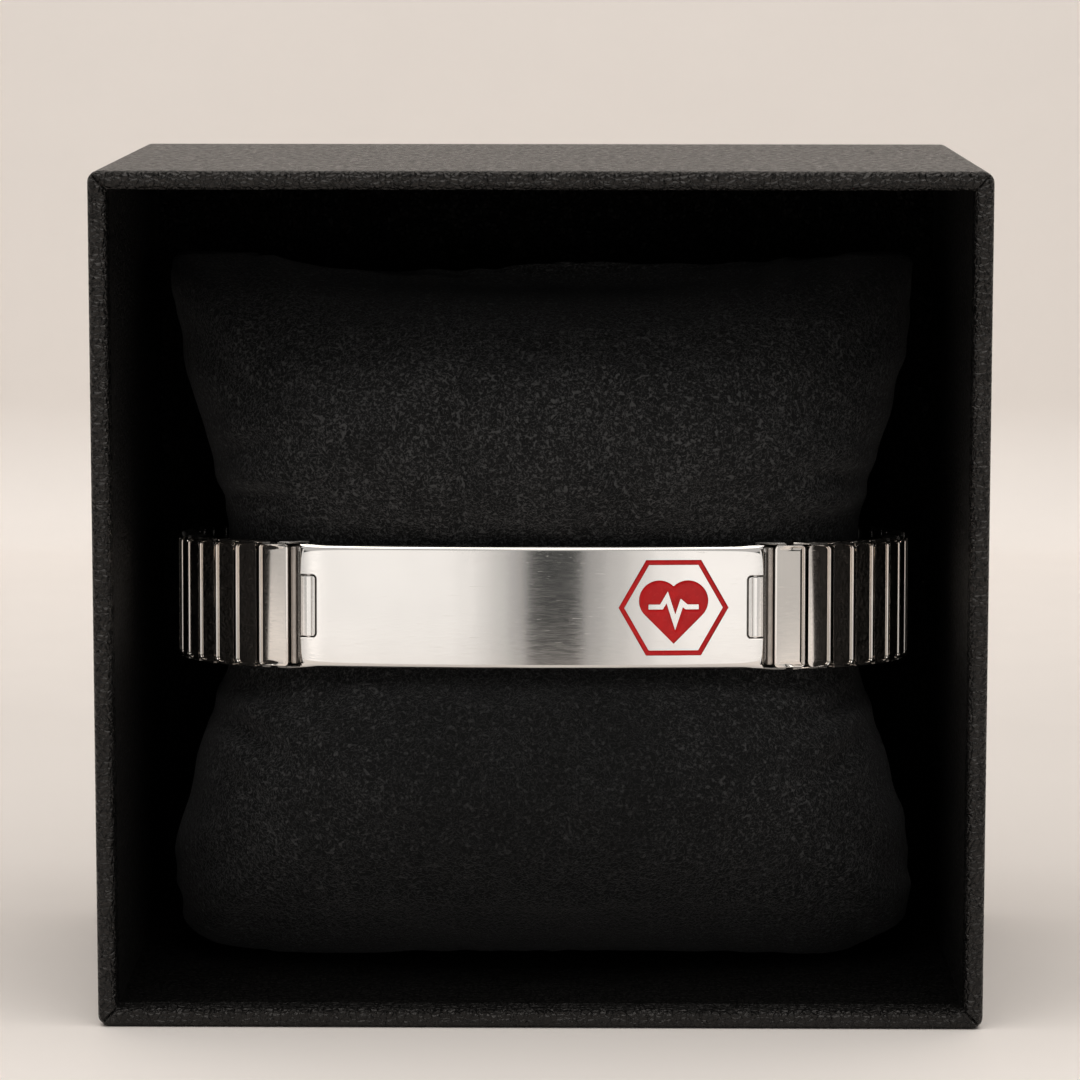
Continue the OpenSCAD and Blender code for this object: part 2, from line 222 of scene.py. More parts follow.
def unleaned(points):
    # The bracelet's own frame again, in millimetres
    x, y, z = (points / mm).T
    y = y - loop["plateBack"] + loop["boxDepth"] / 2
    z = z - loop["plateUp"]
    return np.stack([x, y * math.cos(lean) - z * math.sin(lean) - loop["shellTop"],
                     y * math.sin(lean) + z * math.cos(lean)], -1)


def flatOnLoop(s, u, w):
    # line(s) + u * along + w * outward, in the loop's own plane
    x, y, turn = loopLine(s)
    return x + u * np.cos(turn) + w * np.sin(turn), y + u * np.sin(turn) - w * np.cos(turn)


def onLoop(side, s, u, w, z):
    # The same with a height, on the right side (1) or mirrored to the left (-1)
    x, y = flatOnLoop(s, u, w)
    return leaned(side * x, y, z)


def plateEnd(side):
    return plateLine / 2 - side * loop["plateShift"]


def shellMid(side, k):
    # Link 0 is the wide one
    middle = np.where(k == 0, endPitch / 2, endPitch + (k - 0.5) * loop["linkPitch"])
    return plateEnd(side) + loop["endGap"] + middle


def jointAt(side, k):
    return plateEnd(side) + loop["endGap"] + endPitch + (k - 1) * loop["linkPitch"]


# Helpers for nodes. A value is a number, a colour or another node's output.

def setInputs(node, values):
    for key, value in values.items():
        if isinstance(value, bpy.types.NodeSocket):
            node.id_data.links.new(value, node.inputs[key])
        else:
            node.inputs[key].default_value = value


def addNode(tree, kind, inputs, **settings):
    node = tree.nodes.new(kind)
    setAll(node, settings)
    setInputs(node, inputs)
    return node


def calculated(operation, *values):
    tree = next(value.id_data for value in values if isinstance(value, bpy.types.NodeSocket))
    return addNode(tree, "ShaderNodeMath", dict(enumerate(values)), operation=operation).outputs[0]


def plus(first, second):
    return calculated("ADD", first, second)


def minus(first, second):
    return calculated("SUBTRACT", first, second)


def times(first, second):
    return calculated("MULTIPLY", first, second)


def ranged(value, low, high, toLow=0.0, toHigh=1.0):
    # Maps low to toLow and high to toHigh, and holds still beyond them
    inputs = dict(enumerate([value, low, high, toLow, toHigh]))
    return addNode(value.id_data, "ShaderNodeMapRange", inputs, clamp=True).outputs[0]


def noise(place, scale, detail=2.0, roughness=0.5, distortion=0.0):
    return addNode(place.id_data, "ShaderNodeTexNoise", {
        "Vector": place, "Scale": scale, "Detail": detail, "Roughness": roughness,
        "Distortion": distortion}).outputs[0]


def stretched(place, scale):
    # A place whose axes are scaled by different factors
    return addNode(place.id_data, "ShaderNodeMapping", {"Vector": place, "Scale": scale}).outputs[0]


def axesOf(vector):
    return addNode(vector.id_data, "ShaderNodeSeparateXYZ", {0: vector}).outputs


def mixed(factor, first, second):
    # Two colours, which are sockets 6 and 7 of the node
    return addNode(factor.id_data, "ShaderNodeMix", {0: factor, 6: (*first, 1), 7: (*second, 1)},
                   data_type="RGBA").outputs[2]


def bumped(shader, height, strength, distance):
    bump = addNode(shader.id_data, "ShaderNodeBump", {
        "Height": height, "Strength": strength, "Distance": distance})
    setInputs(shader, {"Normal": bump.outputs[0]})


def newGroup(name, pattern, labels):
    # A node group that takes a place and gives the pattern's values under these labels
    group = bpy.data.node_groups.new(name, "ShaderNodeTree")
    group.interface.new_socket("Vector", in_out="INPUT", socket_type="NodeSocketVector")
    for label in labels:
        group.interface.new_socket(label, in_out="OUTPUT", socket_type="NodeSocketFloat")
    values = pattern(group.nodes.new("NodeGroupInput").outputs["Vector"])
    setInputs(group.nodes.new("NodeGroupOutput"), dict(zip(labels, values)))
    return group


def grouped(group, place):
    return addNode(place.id_data, "ShaderNodeGroup", {"Vector": place}, node_tree=group).outputs


def newMaterial(name, constants):
    # A material with one Principled shader, whose constants sit on its own sockets
    material = bpy.data.materials.new(name)
    material.use_nodes = True
    tree = material.node_tree
    tree.nodes.clear()
    shader = addNode(tree, "ShaderNodeBsdfPrincipled", constants)
    addNode(tree, "ShaderNodeOutputMaterial", {"Surface": shader.outputs[0]})
    place = addNode(tree, "ShaderNodeTexCoord", {}).outputs["Object"]
    return material, shader, place


# Materials. Scales are counts per metre.

leather = {
    "dark": (0.0032, 0.0031, 0.0030),
    "light": (0.0135, 0.0130, 0.0126),
    "cells": 1500.0,
    "domeShare": 0.42,  # how far from a crease a cell's dome still rises
    "creaseShare": 0.12,
    "bump": 0.85,
    "depth": 0.00024,
    "tint": (1.0, 0.96, 0.93, 1),
    "dusty": 0.1,  # how much rougher the faces are that look straight up
}


def pebbleGrain(place):
    # Pebbled leather grain: soft cells that noise bends, fine and broad noise, and creases
    tree = place.id_data
    bent = addNode(tree, "ShaderNodeVectorMath", {
        0: noise(place, 700.0, 1.0), 1: (0.0009, 0.0009, 0.0009), 2: place}, operation="MULTIPLY_ADD")
    cells = addNode(tree, "ShaderNodeTexVoronoi", {
        "Vector": bent.outputs[0], "Scale": leather["cells"]}, feature="DISTANCE_TO_EDGE")
    edge = cells.outputs["Distance"]
    dome = calculated("POWER", ranged(edge, 0.0, leather["domeShare"]), 0.8)
    height = plus(dome, times(noise(place, 5200.0, 1.0, 0.6), 0.5))
    height = plus(height, times(noise(place, 420.0, 1.0, 0.55), 0.9))
    return height, ranged(edge, 0.0, leather["creaseShare"], 1.0, 0.0)


def polishMarks(place):
    # Polishing marks: long streaks along one axis, thin bright hairlines and slow clouds
    streak = noise(stretched(place, (900.0, 900.0, 9000.0)), 1.0, 1.0, 0.6)
    lines = noise(stretched(place, (700.0, 2000.0, 9000.0)), 1.0, 1.0, 0.5, 0.6)
    return streak, ranged(lines, 0.735, 0.76), noise(place, 160.0, 1.0, 0.5)


pebbleGroup = newGroup("pebbleGrain", pebbleGrain, ["Height", "Crease"])
polishGroup = newGroup("polishMarks", polishMarks, ["Streak", "Hairline", "Cloud"])


def makeLeather(name, shade, specular, gloss):
    # Pebbled leatherette, whose creases are darker than its cells
    material, shader, place = newMaterial(name, {
        "Specular IOR Level": specular, "IOR": 1.5, "Specular Tint": leather["tint"]})
    height, crease = grouped(pebbleGroup, place)
    tone = times(noise(place, 90.0, 2.0, 0.6), minus(1.0, crease))
    dark, light = ([shade * value for value in leather[key]] for key in ("dark", "light"))
    facing = axesOf(addNode(shader.id_data, "ShaderNodeNewGeometry", {}).outputs["True Normal"])
    rough = ranged(noise(place, 1300.0, 1.0, 0.6), 0.3, 0.7, *gloss)
    setInputs(shader, {
        "Base Color": mixed(tone, dark, light),
        "Roughness": plus(rough, ranged(facing["Z"], 0.9, 1.0, 0.0, leather["dusty"]))})
    bumped(shader, height, leather["bump"], leather["depth"])
    return material


def makeSteel(name, colour, rough, marked, waved):
    # Polished steel: streaks and clouds change its roughness, and hairlines and slow waves its
    # normal. Height = waved * wave + marked * (streak / 4 - hairline).
    material, shader, place = newMaterial(name, {"Metallic": 1.0, "IOR": 2.5})
    streak, hairline, cloud = grouped(polishGroup, place)
    darker = [0.95 * value for value in colour]
    setInputs(shader, {
        "Base Color": mixed(ranged(cloud, 0.3, 0.7), darker, colour),
        "Roughness": plus(ranged(streak, 0.3, 0.7, *rough), times(hairline, 0.12))})
    fine = minus(times(streak, 0.25), hairline)
    height = plus(times(fine, marked), times(noise(place, 170.0, 0.0, 0.4), waved))
    bumped(shader, height, 1.0, 0.00002)
    return material


enamel = {
    "deepRed": (0.50, 0.009, 0.011),
    "brightRed": (0.64, 0.013, 0.015),
}


def makeEnamel():
    material, shader, place = newMaterial("redEnamel", {
        "Specular IOR Level": 0.16, "Coat Roughness": 0.05, "Coat Weight": 0.12})
    cloud = ranged(noise(place, 700.0, 3.0, 0.55), 0.3, 0.7)
    setInputs(shader, {
        "Base Color": mixed(cloud, enamel["deepRed"], enamel["brightRed"]),
        "Roughness": ranged(noise(place, 2600.0, 2.0), 0.3, 0.7, 0.16, 0.3)})
    bumped(shader, noise(place, 1500.0, 2.0), 0.12, 0.00005)
    return material


suede = {
    "dark": (0.0024, 0.0026, 0.0027),
    "light": (0.0610, 0.0620, 0.0630),
    "ridges": 2100.0,
    "fibres": 5200.0,
    "specks": 2300.0,
}


def makeSuede():
    # Short brushed pile: curled ridges half a millimetre apart, pale partly in the pile's own fibres and
    # partly as painted sheen on their lit tips, broken up by fibre noise, over dark ground, with a dusting
    # of paler fibre ends. Ridge = 1 where noise is 0.5.
    material, shader, place = newMaterial("pillowSuede", {
        "Specular IOR Level": 0.12, "Sheen Weight": 0.10, "Sheen Roughness": 0.5,
        "Sheen Tint": (0.80, 0.80, 0.82, 1)})
    nap = noise(place, 150.0, 2.0, 0.6)
    fibre = noise(place, suede["fibres"], 1.0, 0.6)
    bent = calculated("ABSOLUTE", minus(noise(place, suede["ridges"], 1.0, 0.5, 0.7), 0.5))
    # The ridges are lighter partly as painted sheen on their tips
    ridge = ranged(bent, 0.0, 0.085, 1.0, 0.0)
    broken = ranged(fibre, 0.40, 0.62, 0.12, 1.0)
    tone = times(plus(times(ridge, 0.85), 0.15), broken)
    tone = times(tone, ranged(nap, 0.3, 0.7, 0.7, 1.3))
    speck = ranged(noise(place, suede["specks"], 0.0, 0.5), 0.66, 0.75)
    tone = plus(tone, times(speck, 0.8))
    # Painted light and shade: the pile is darker in the lower lobe's middle, at the top under the box's
    # top wall and at the sides that turn away, and lighter in the upper lobe's middle, where light from
    # above falls
    axes = axesOf(place)
    side = calculated("ABSOLUTE", axes["X"])
    upper = ranged(axes["Z"], 0.030, 0.055)
    shade = plus(times(ranged(side, 0.010, 0.028, 0.36, 0.82), minus(1.0, upper)),
                 times(ranged(side, 0.020, 0.036, 1.20, 0.95), upper))
    shade = times(shade, ranged(axes["Z"], 0.065, 0.085, 1.0, 0.25))
    shade = times(shade, ranged(side, 0.031, 0.039, 1.0, 0.6))
    setInputs(shader, {
        "Base Color": mixed(times(tone, shade), suede["dark"], suede["light"]),
        "Roughness": ranged(fibre, 0.3, 0.7, 0.7, 1.0)})
    bumped(shader, plus(plus(times(broken, 0.4), ridge), nap), 0.7, 0.00013)
    return material


# Each leather's shade, specular level and roughness. The inside's two copies are painted shade: a dark one
# for the back and the top and bottom walls, and a lighter, rougher one for the lit side walls
leatherMaterial = makeLeather("boxLeather", 0.85, 0.30, (0.12, 0.38))
sideMaterial = makeLeather("boxLeatherInnerSides", 0.9, 0.35, (0.30, 0.50))
paintedShadeLeather = makeLeather("boxLeatherPaintedShade", 0.25, 0.10, (0.35, 0.6))
# Each steel's colour, roughness, marks and waves
plateSteel = makeSteel("plateSteel", (0.82, 0.795, 0.77), (0.07, 0.10), 0.016, 0.08)
bandSteel = makeSteel("bandSteel", (0.79, 0.745, 0.70), (0.06, 0.09), 0.015, 0.35)
# A dark copy of the steel, painted shade for the bars, legs and far staples
paintedShadeSteel = makeSteel("paintedShadeSteel", (0.26, 0.25, 0.24), (0.22, 0.36), 0.2, 0.35)
hingeSteel = makeSteel("hingeSteel", (0.56, 0.515, 0.475), (0.36, 0.56), 0.8, 0.8)
enamelMaterial = makeEnamel()
suedeMaterial = makeSuede()
print("materials made")


# Rounded rectangles, which the box and the band's links are made of

def cornerStations(cornerAngles, edgeShares):
    # Goes once round from the right side. Each station has a corner sign on both axes and an
    # angle in the corner. Points along the top and bottom edges share their corner sign.
    angles = np.radians(cornerAngles)
    shares = np.asarray(edgeShares, float)
    level = np.full(len(shares), math.pi / 2)
    full = np.ones(len(angles))
    high = np.ones(len(shares))
    signX = np.concatenate([full, shares, -full, -full, shares[::-1], full])
    signZ = np.concatenate([full, high, full, -full, -high, -full])
    angle = np.concatenate([angles, level, angles + math.pi / 2, angles + math.pi,
                            level + math.pi, angles + 1.5 * math.pi])
    return signX, signZ, angle


def outlineAt(stations, halfWide, halfHigh, radius, inset, leastRadius):
    # Sign * (half size - inset - radius) + radius * (cos angle, sin angle), where the radius
    # shrinks with the inset
    signX, signZ, angle = stations
    r = np.maximum(radius - inset, leastRadius)
    return (signX * (halfWide - inset - r) + r * np.cos(angle),
            signZ * (halfHigh - inset - r) + r * np.sin(angle))


# Box covered in black leatherette, with mitred turned-in edges

boxCover = {
    "width": 90.0,
    "height": 87.0,
    "depth": 56.0,
    "wall": 1.9,
    "cornerRadius": 1.2,
    "innerRadius": 0.3,
    "edgeRadius": 0.55,  # at the rim's two edges
    "backRadius": 0.8,
    "mitreDepth": 0.2,
    "mitreWide": 0.085,
    "swell": 0.07,  # how far the covered rim rises between its edges
    "backInsets": [38.0, 30.0, 20.0, 10.0, 4.0, 2.0],
    "corner": [0, 8, 16, 24, 32, 38, 41, 43, 45, 47, 49, 52, 58, 66, 74, 82, 90],
    "sideRows": 8,  # along the inner wall
}


def makeBoxCover():
    # A profile of insets and depths carried round the outline: out of the back's middle, along
    # the outer wall, over the rim, along the inner wall and into the inner back's middle.
    v = boxCover
    half = v["depth"] / 2
    wall = v["wall"]
    r = v["edgeRadius"]
    rb = v["backRadius"]
    turn = np.radians(np.linspace(0, 90, 7))
    sine = np.sin(turn)
    cosine = np.cos(turn)
    back = v["backInsets"]
    insets = np.concatenate([
        back, rb - rb * sine, np.zeros(6), r - r * cosine, np.linspace(r, wall - r, 7)[1:-1],
        wall - r + r * sine, np.full(v["sideRows"], wall), [wall + 0.15, wall + 0.5], back[3::-1]])
    depths = np.concatenate([
        np.full(6, half), half - rb + rb * cosine, np.linspace(half - 4, -half + 4, 6),
        -half + r - r * sine, np.full(5, -half), -half + r - r * cosine,
        np.linspace(-half + 3, half - wall - 0.15, v["sideRows"]), np.full(6, half - wall)])
    stations = cornerStations(v["corner"], np.linspace(0.92, -0.92, 24))
    inset = insets[:, None]
    x, z = outlineAt(stations, v["width"] / 2, v["height"] / 2, v["cornerRadius"], inset,
                     v["innerRadius"])
    # The rim swells a little, and dips along the mitre in each of its corners
    onRim = (depths < -half + r + 0.01)[:, None]
    swell = 4 * np.clip((wall - inset) / wall, 0, 1) * np.clip(inset / wall, 0, 1)
    bend = np.mod(stations[2], math.pi / 2)[None] - math.pi / 4
    radius = np.maximum(v["cornerRadius"] - inset, v["innerRadius"])
    dip = np.exp(-(bend * radius / v["mitreWide"]) ** 2)
    y = depths[:, None] + onRim * (v["mitreDepth"] * dip - v["swell"] * swell)
    rows, columns = x.shape
    points = np.stack([x, y, z + v["height"] / 2], -1) * mm
    piece = makePiece("boxCover", points, closedGrid(rows, columns))
    # Inside, from the inner wall's first row on, the box takes the dark copy of its leather as painted
    # shade, and the back's outside doesn't
    finish = np.zeros(len(piece.data.polygons))
    finish[(rows - v["sideRows"] - 6) * columns:] = 1
    finish[-2] = 0
    # The inner side walls, which light from the sides reaches, take the lighter copy
    facing = np.abs(vectorsOf(piece.data.polygons, "normal")[:, 0])
    finish[(finish == 1) & (facing > 0.8)] = 2
    dressed(piece, [leatherMaterial, paintedShadeLeather, sideMaterial], ["display_box"],
            finish)


makeBoxCover()


# Identity plate with its pockets, and the enamel in them

plate = {
    "bevelWide": 0.44,  # polished edge at mid length
    "bevelMore": 0.30,  # extra width of it towards the ends
    "bevelEnd": 0.11,
    "bevelCorner": 0.42,
    "bevelDeep": 0.27,
    "bevelRows": [(1.0, 0.0), (0.72, 0.17), (0.45, 0.39), (0.2, 0.68), (0.0, 1.0)],
    "notchHigh": 6.5,
    "notchDeep": 1.75,
    "notchRadius": 0.45,
    "notchBevel": 0.09,
    "backBevel": 0.1,
    "sharpTurn": 35,
    "pinRadius": 0.3,
    "pinSides": 24,
    "pinMore": 0.2,  # how far a pin reaches into the plate at each end
    "emblemIn": 9.45,
    "frameRadius": 5.7,
    "frameWide": 0.5,
    "heartSide": 4.2,
    "heartDrop": 0.18,
    "pulseWide": 0.5,
    "pocketDeep": 0.35,
    "enamelLow": 0.03,
    "enamelOver": 0.03,  # how far the enamel's underside is over the pocket's floor
    "enamelGap": 0.015,
    "enamelStep": 0.22,
    "enamelSharp": 50,
    "dipDeep": 0.06,
    "dipWide": 0.09,
    "pulse": [(-0.62, 0.02), (-0.3, 0.02), (-0.16, 0.26), (0.04, -0.36), (0.2, 0.12),
              (0.32, 0.02), (0.62, 0.02)],
}


def onPlate(places, depth):
    # Points at places along the plate's curve and up it, a depth under its face
    turn = -loop["plateShift"] / lineRadius + places[..., 0] / loop["plateRadius"]
    r = loop["plateRadius"] - depth
    return leaned(r * np.sin(turn), lineRadius - r * np.cos(turn), places[..., 1])


def within(points, polygon, *holes):
    # Even-odd rule: counts the polygon's edges that cross a line from each point to the right.
    # Points in a hole are out.
    end = np.roll(polygon, -1, 0)
    x = points[:, None, 0]
    z = points[:, None, 1]
    crosses = (polygon[None, :, 1] > z) != (end[None, :, 1] > z)
    rise = np.where(end[:, 1] == polygon[:, 1], 1e-12, end[:, 1] - polygon[:, 1])
    at = polygon[None, :, 0] + (z - polygon[None, :, 1]) / rise[None] * (end - polygon)[None, :, 0]
    found = (np.count_nonzero(crosses & (x < at), 1) % 2) == 1
    for hole in holes:
        found &= ~within(points, hole)
    return found


def distanceTo(points, polygon):
    # Least distance from each point to a closed outline
    start = polygon[None]
    step = np.roll(polygon, -1, 0)[None] - start
    away = points[:, None] - start
    share = np.clip((away * step).sum(-1) / np.maximum((step ** 2).sum(-1), 1e-12), 0, 1)
    return np.linalg.norm(away - share[..., None] * step, axis=-1).min(1)


def nearest(points, outlines):
    # Distance from each point to the nearest of several outlines
    return np.min([distanceTo(points, outline) for outline in outlines], 0)


def scattered(xs, zs):
    return np.stack(np.meshgrid(xs, zs), -1).reshape(-1, 2)


def divided(polygon, step):
    # The same closed outline with its long edges cut into equal parts
    following = np.roll(polygon, -1, 0)
    counts = np.maximum(np.ceil(np.linalg.norm(following - polygon, axis=1) / step).astype(int), 1)
    index = np.repeat(np.arange(len(polygon)), counts)
    first = np.repeat(np.cumsum(counts) - counts, counts)
    share = (np.arange(counts.sum()) - first) / np.repeat(counts, counts)
    return polygon[index] + share[:, None] * (following - polygon)[index]


def unit(vectors):
    return vectors / np.linalg.norm(vectors, axis=1)[:, None]


def movedIn(polygon, insets):
    # Each edge of a counter-clockwise outline moves inwards by its own inset, and a corner goes
    # to where its two moved edges cross, or halfway where they are almost in line
    insets = np.broadcast_to(insets, len(polygon))
    along = unit(np.roll(polygon, -1, 0) - polygon)
    inwards = np.stack([-along[:, 1], along[:, 0]], -1)
    before = np.roll(inwards, 1, 0)
    insetBefore = np.roll(insets, 1)
    cross = before[:, 0] * inwards[:, 1] - before[:, 1] * inwards[:, 0]
    bent = np.abs(cross) >= 0.06
    safe = np.where(bent, cross, 1)
    x = (insetBefore * inwards[:, 1] - insets * before[:, 1]) / safe
    z = (before[:, 0] * insets - inwards[:, 0] * insetBefore) / safe
    middle = (insetBefore + insets)[:, None] / 2 * (before + inwards) / 2
    return polygon + np.where(bent[:, None], np.stack([x, z], -1), middle)


def cornerless(polygon, radius):
    # Rounds each sharp corner with a short curve: (1 - t)2 * one way + t2 * the other way
    reachBefore = unit(np.roll(polygon, 1, 0) - polygon) * radius
    reachAfter = unit(np.roll(polygon, -1, 0) - polygon) * radius
    share = np.array([0.0, 0.25, 0.5, 0.75, 1.0])[None, :, None]
    curve = (1 - share) ** 2 * reachBefore[:, None] + share ** 2 * reachAfter[:, None]
    return (polygon[:, None] + curve).reshape(-1, 2)


def plateOutline():
    # Counter-clockwise outline with a notch in each end, and the width of each edge's bevel
    v = plate
    halfLong = loop["plateLength"] / 2
    halfHigh = loop["plateHeight"] / 2
    halfNotch = v["notchHigh"] / 2
    r = v["notchRadius"]
    turn = np.radians(np.linspace(90, 0, 7))
    curve = [halfLong - v["notchDeep"] + r - r * np.sin(turn), halfNotch - r + r * np.cos(turn)]
    upper = np.concatenate([np.stack(curve, -1), [[halfLong, halfNotch], [halfLong, halfHigh]]])
    right = np.concatenate([upper[::-1] * [1, -1], upper])
    outline = divided(np.concatenate([right, -right]), 0.35)
    x, z = np.abs((outline + np.roll(outline, -1, 0)) / 2).T
    atEnd = x > halfLong - 0.001
    atNotch = (x < halfLong - 0.001) & (z < halfNotch + 0.001)
    wide = v["bevelWide"] + v["bevelMore"] * np.clip(x / halfLong - 0.35, 0, 1) ** 2
    toCorner = np.hypot(halfLong - x, halfHigh - z)
    wide = np.where(atEnd, v["bevelEnd"], wide) + v["bevelCorner"] * np.exp(-toCorner / 0.9)
    return outline, np.where(atNotch, v["notchBevel"], wide), atNotch


def frameOutline(offset):
    # Hexagon with a corner on each side, moved out by the offset
    turn = np.radians(np.arange(6) * 60)
    radius = plate["frameRadius"] + offset / math.cos(math.pi / 6)
    return radius * np.stack([np.cos(turn), np.sin(turn)], -1)


def heartOutline(grow):
    # A square on its corner with a round top on each upper side, grown all round
    side = plate["heartSide"]
    middle = side * math.sqrt(2) / 4
    r = side / 2 + grow
    turn = np.radians(-45 + (45 + math.degrees(math.acos(-middle / r))) * np.linspace(0, 1, 25))
    lobe = np.stack([middle + r * np.cos(turn), middle + r * np.sin(turn)], -1)
    outline = np.concatenate([lobe, (lobe * [-1, 1])[-2::-1], [[0, -r * math.sqrt(2)]]])
    return cornerless(outline - [0, plate["heartDrop"] * side], 0.05)


def pulseOutline(grow):
    # A line of even width through the points, mitred at its corners
    line = np.array(plate["pulse"]) * plate["heartSide"]
    step = np.diff(line, axis=0)
    heading = np.arctan2(step[:, 1], step[:, 0])
    before = np.concatenate([heading[:1], heading])
    after = np.concatenate([heading, heading[-1:]])
    wide = (plate["pulseWide"] / 2 + grow) / np.cos((after - before) / 2)
    mean = (after + before) / 2
    side = np.stack([-np.sin(mean), np.cos(mean)], -1) * wide[:, None]
    ends = np.zeros_like(line)
    ends[[0, -1], 0] = -grow, grow
    return cornerless(np.concatenate([line - side + ends, (line + side + ends)[::-1]]), 0.06)


def emblemPlace(outline):
    return outline + [loop["plateLength"] / 2 - plate["emblemIn"], 0]


def triangulated(outlines, loose):
    # Constrained Delaunay triangles over closed outlines and loose points, and the new places
    # of each outline's points
    everything = np.concatenate([*outlines, loose])
    starts = np.cumsum([0] + [len(outline) for outline in outlines])
    index = [np.arange(start, end) for start, end in zip(starts[:-1], starts[1:])]
    edges = np.concatenate([np.stack([ring, np.roll(ring, -1)], -1) for ring in index])
    result = delaunay_2d_cdt([Vector(p) for p in everything.tolist()], edges.tolist(), [], 0, 1e-7)
    flat = np.array([p[:] for p in result[0]])
    triangles = np.array([face for face in result[2] if len(face) == 3])
    places = np.full(len(everything), -1)
    for new, olds in enumerate(result[3]):
        places[list(olds)] = new
    return flat, triangles, [places[ring] for ring in index]


def ringWalls(upper, lower):
    # Quads between two closed rings of the same number of points
    return np.stack([upper, np.roll(upper, -1), np.roll(lower, -1), lower], -1)


def exactNormals(piece, limit):
    # Corners of faces that lie on the plate's curve take the curve's own normal, so that the
    # polished face mirrors without waves. Where other faces touch them, they keep their own
    # flat normal, and the rest keep smooth or flat ones by their bend.
    mesh = piece.data
    sizes = [len(face.vertices) for face in mesh.polygons]
    own = np.repeat(vectorsOf(mesh.polygons, "normal"), sizes, 0)
    vertexOf = np.empty(len(mesh.loops), np.int32)
    mesh.loops.foreach_get("vertex_index", vertexOf)
    turn = np.arcsin(vectorsOf(mesh.vertices)[vertexOf, 0] / mm / loop["plateRadius"])
    back = -np.cos(turn)
    curve = np.stack([np.sin(turn), back * math.cos(lean), -back * math.sin(lean)], -1)
    facing = (own * curve).sum(1)
    onCurve = np.abs(facing) > limit
    touching = np.zeros(len(mesh.vertices), bool)
    touching[vertexOf[onCurve]] = True
    result = np.where(touching[vertexOf][:, None], own, vectorsOf(mesh.corner_normals, "vector"))
    result = np.where(onCurve[:, None], curve * np.sign(facing)[:, None], result)
    mesh.normals_split_custom_set(result.tolist())


def makePlate():
    # The front face is triangles on the curve. Round it goes a polished edge of four rows, then
    # the sides and the flat back. Pockets have walls and a floor.
    v = plate
    thick = loop["plateThick"]
    outline, bevel, atNotch = plateOutline()
    gap = v["enamelGap"]
    pockets = [divided(emblemPlace(shape), 0.5) for shape in (
        frameOutline(gap), frameOutline(-v["frameWide"] - gap), heartOutline(gap), pulseOutline(0))]
    deepest = v["bevelDeep"] * np.where(atNotch | np.roll(atNotch, 1), 0.3, 1.0)
    rows = [(movedIn(outline, bevel * share), drop * deepest) for share, drop in v["bevelRows"]]
    inner = rows[0][0]
    shapes = [inner, *pockets]
    loose = scattered(np.arange(-23.4, 23.5, 0.9), np.arange(-5.6, 5.7, 0.93))
    loose = loose[within(loose, inner) & (nearest(loose, shapes) > 0.3)]
    flat, triangles, rings = triangulated(shapes, loose)
    middles = flat[triangles].mean(1)
    inPocket = within(middles, *pockets[:2]) | within(middles, *pockets[2:])
    face = triangles[within(middles, inner) & ~inPocket]
    backIn = movedIn(outline, v["backBevel"])
    backFlat, backTriangles, backRings = triangulated([backIn], loose)
    backTriangles = backTriangles[within(backFlat[backTriangles].mean(1), backIn)]
    points = np.concatenate([
        onPlate(flat, 0.0), onPlate(flat, v["pocketDeep"]),
        *[onPlate(shape, depth) for shape, depth in rows[1:]],
        onPlate(outline, thick - v["backBevel"]), onPlate(backFlat, thick)])
    count = len(flat)
    size = len(outline)
    edgeRings = [2 * count + size * i + np.arange(size) for i in range(len(rows))]
    backStart = edgeRings[-1][-1] + 1
    edgeRings = [rings[0], *edgeRings, backStart + backRings[0]]
    walls = [ringWalls(above, below) for above, below in zip(edgeRings[:-1], edgeRings[1:])]
    walls += [ringWalls(ring, ring + count) for ring in rings[1:]]
    piece = makePiece("idPlate", points, [
        face, triangles[inPocket] + count, *walls, backTriangles[:, ::-1] + backStart])

    def cleaned(shape):
        unused = [point for point in shape.verts if not point.link_faces]
        bmesh.ops.delete(shape, geom=unused, context="VERTS")

    edited(piece.data, cleaned)
    sharpened(piece, v["sharpTurn"])
    exactNormals(piece, 0.9995)
    dressed(piece, [plateSteel], ["id_plate"])


def makePin(name, side):
    # A round hinge pin across a notch: its circle carried straight up
    v = plate
    turn = np.linspace(0, 2 * math.pi, v["pinSides"], endpoint=False)[None]
    pinIn = v["notchDeep"] / 2 - loop["linkGap"] / 2
    a = side * (loop["plateLength"] / 2 - pinIn) + v["pinRadius"] * np.cos(turn)
    z = np.array([[-1], [1]]) * (v["notchHigh"] / 2 + v["pinMore"])
    depth = (loop["plateThick"] + loop["linkGap"]) / 2 + v["pinRadius"] * np.sin(turn)
    places = np.stack(np.broadcast_arrays(a, z), -1)
    piece = makePiece(name, onPlate(places, depth), closedGrid(2, v["pinSides"]))
    sharpened(piece, v["sharpTurn"])
    dressed(piece, [plateSteel])


def makeEnamelPiece(name, outer, hole, node):
    # Flat enamel that dips a little at its edge: low + dip * exp(-distance / dip's width)
    v = plate
    shapes = [divided(emblemPlace(shape), 0.35) for shape in (outer, hole)]
    loose = scattered(*[np.arange(axis.min(), axis.max(), v["enamelStep"]) for axis in shapes[0].T])
    rims = [divided(movedIn(shape, inset), 0.4) for shape, inset in zip(shapes, (0.07, -0.07))]
    loose = np.concatenate([loose, *rims])
    loose = loose[within(loose, *shapes) & (nearest(loose, shapes) > 0.05)]
    flat, triangles, rings = triangulated(shapes, loose)
    triangles = triangles[within(flat[triangles].mean(1), *shapes)]
    depth = v["enamelLow"] + v["dipDeep"] * np.exp(-nearest(flat, shapes) / v["dipWide"])
    points = np.concatenate([onPlate(flat, depth), onPlate(flat, v["pocketDeep"] - v["enamelOver"])])
    count = len(flat)
    walls = [ringWalls(ring, ring + count) for ring in rings]
    piece = makePiece(name, points, [triangles, triangles[:, ::-1] + count, *walls])
    sharpened(piece, v["enamelSharp"])
    dressed(piece, [enamelMaterial], [node])


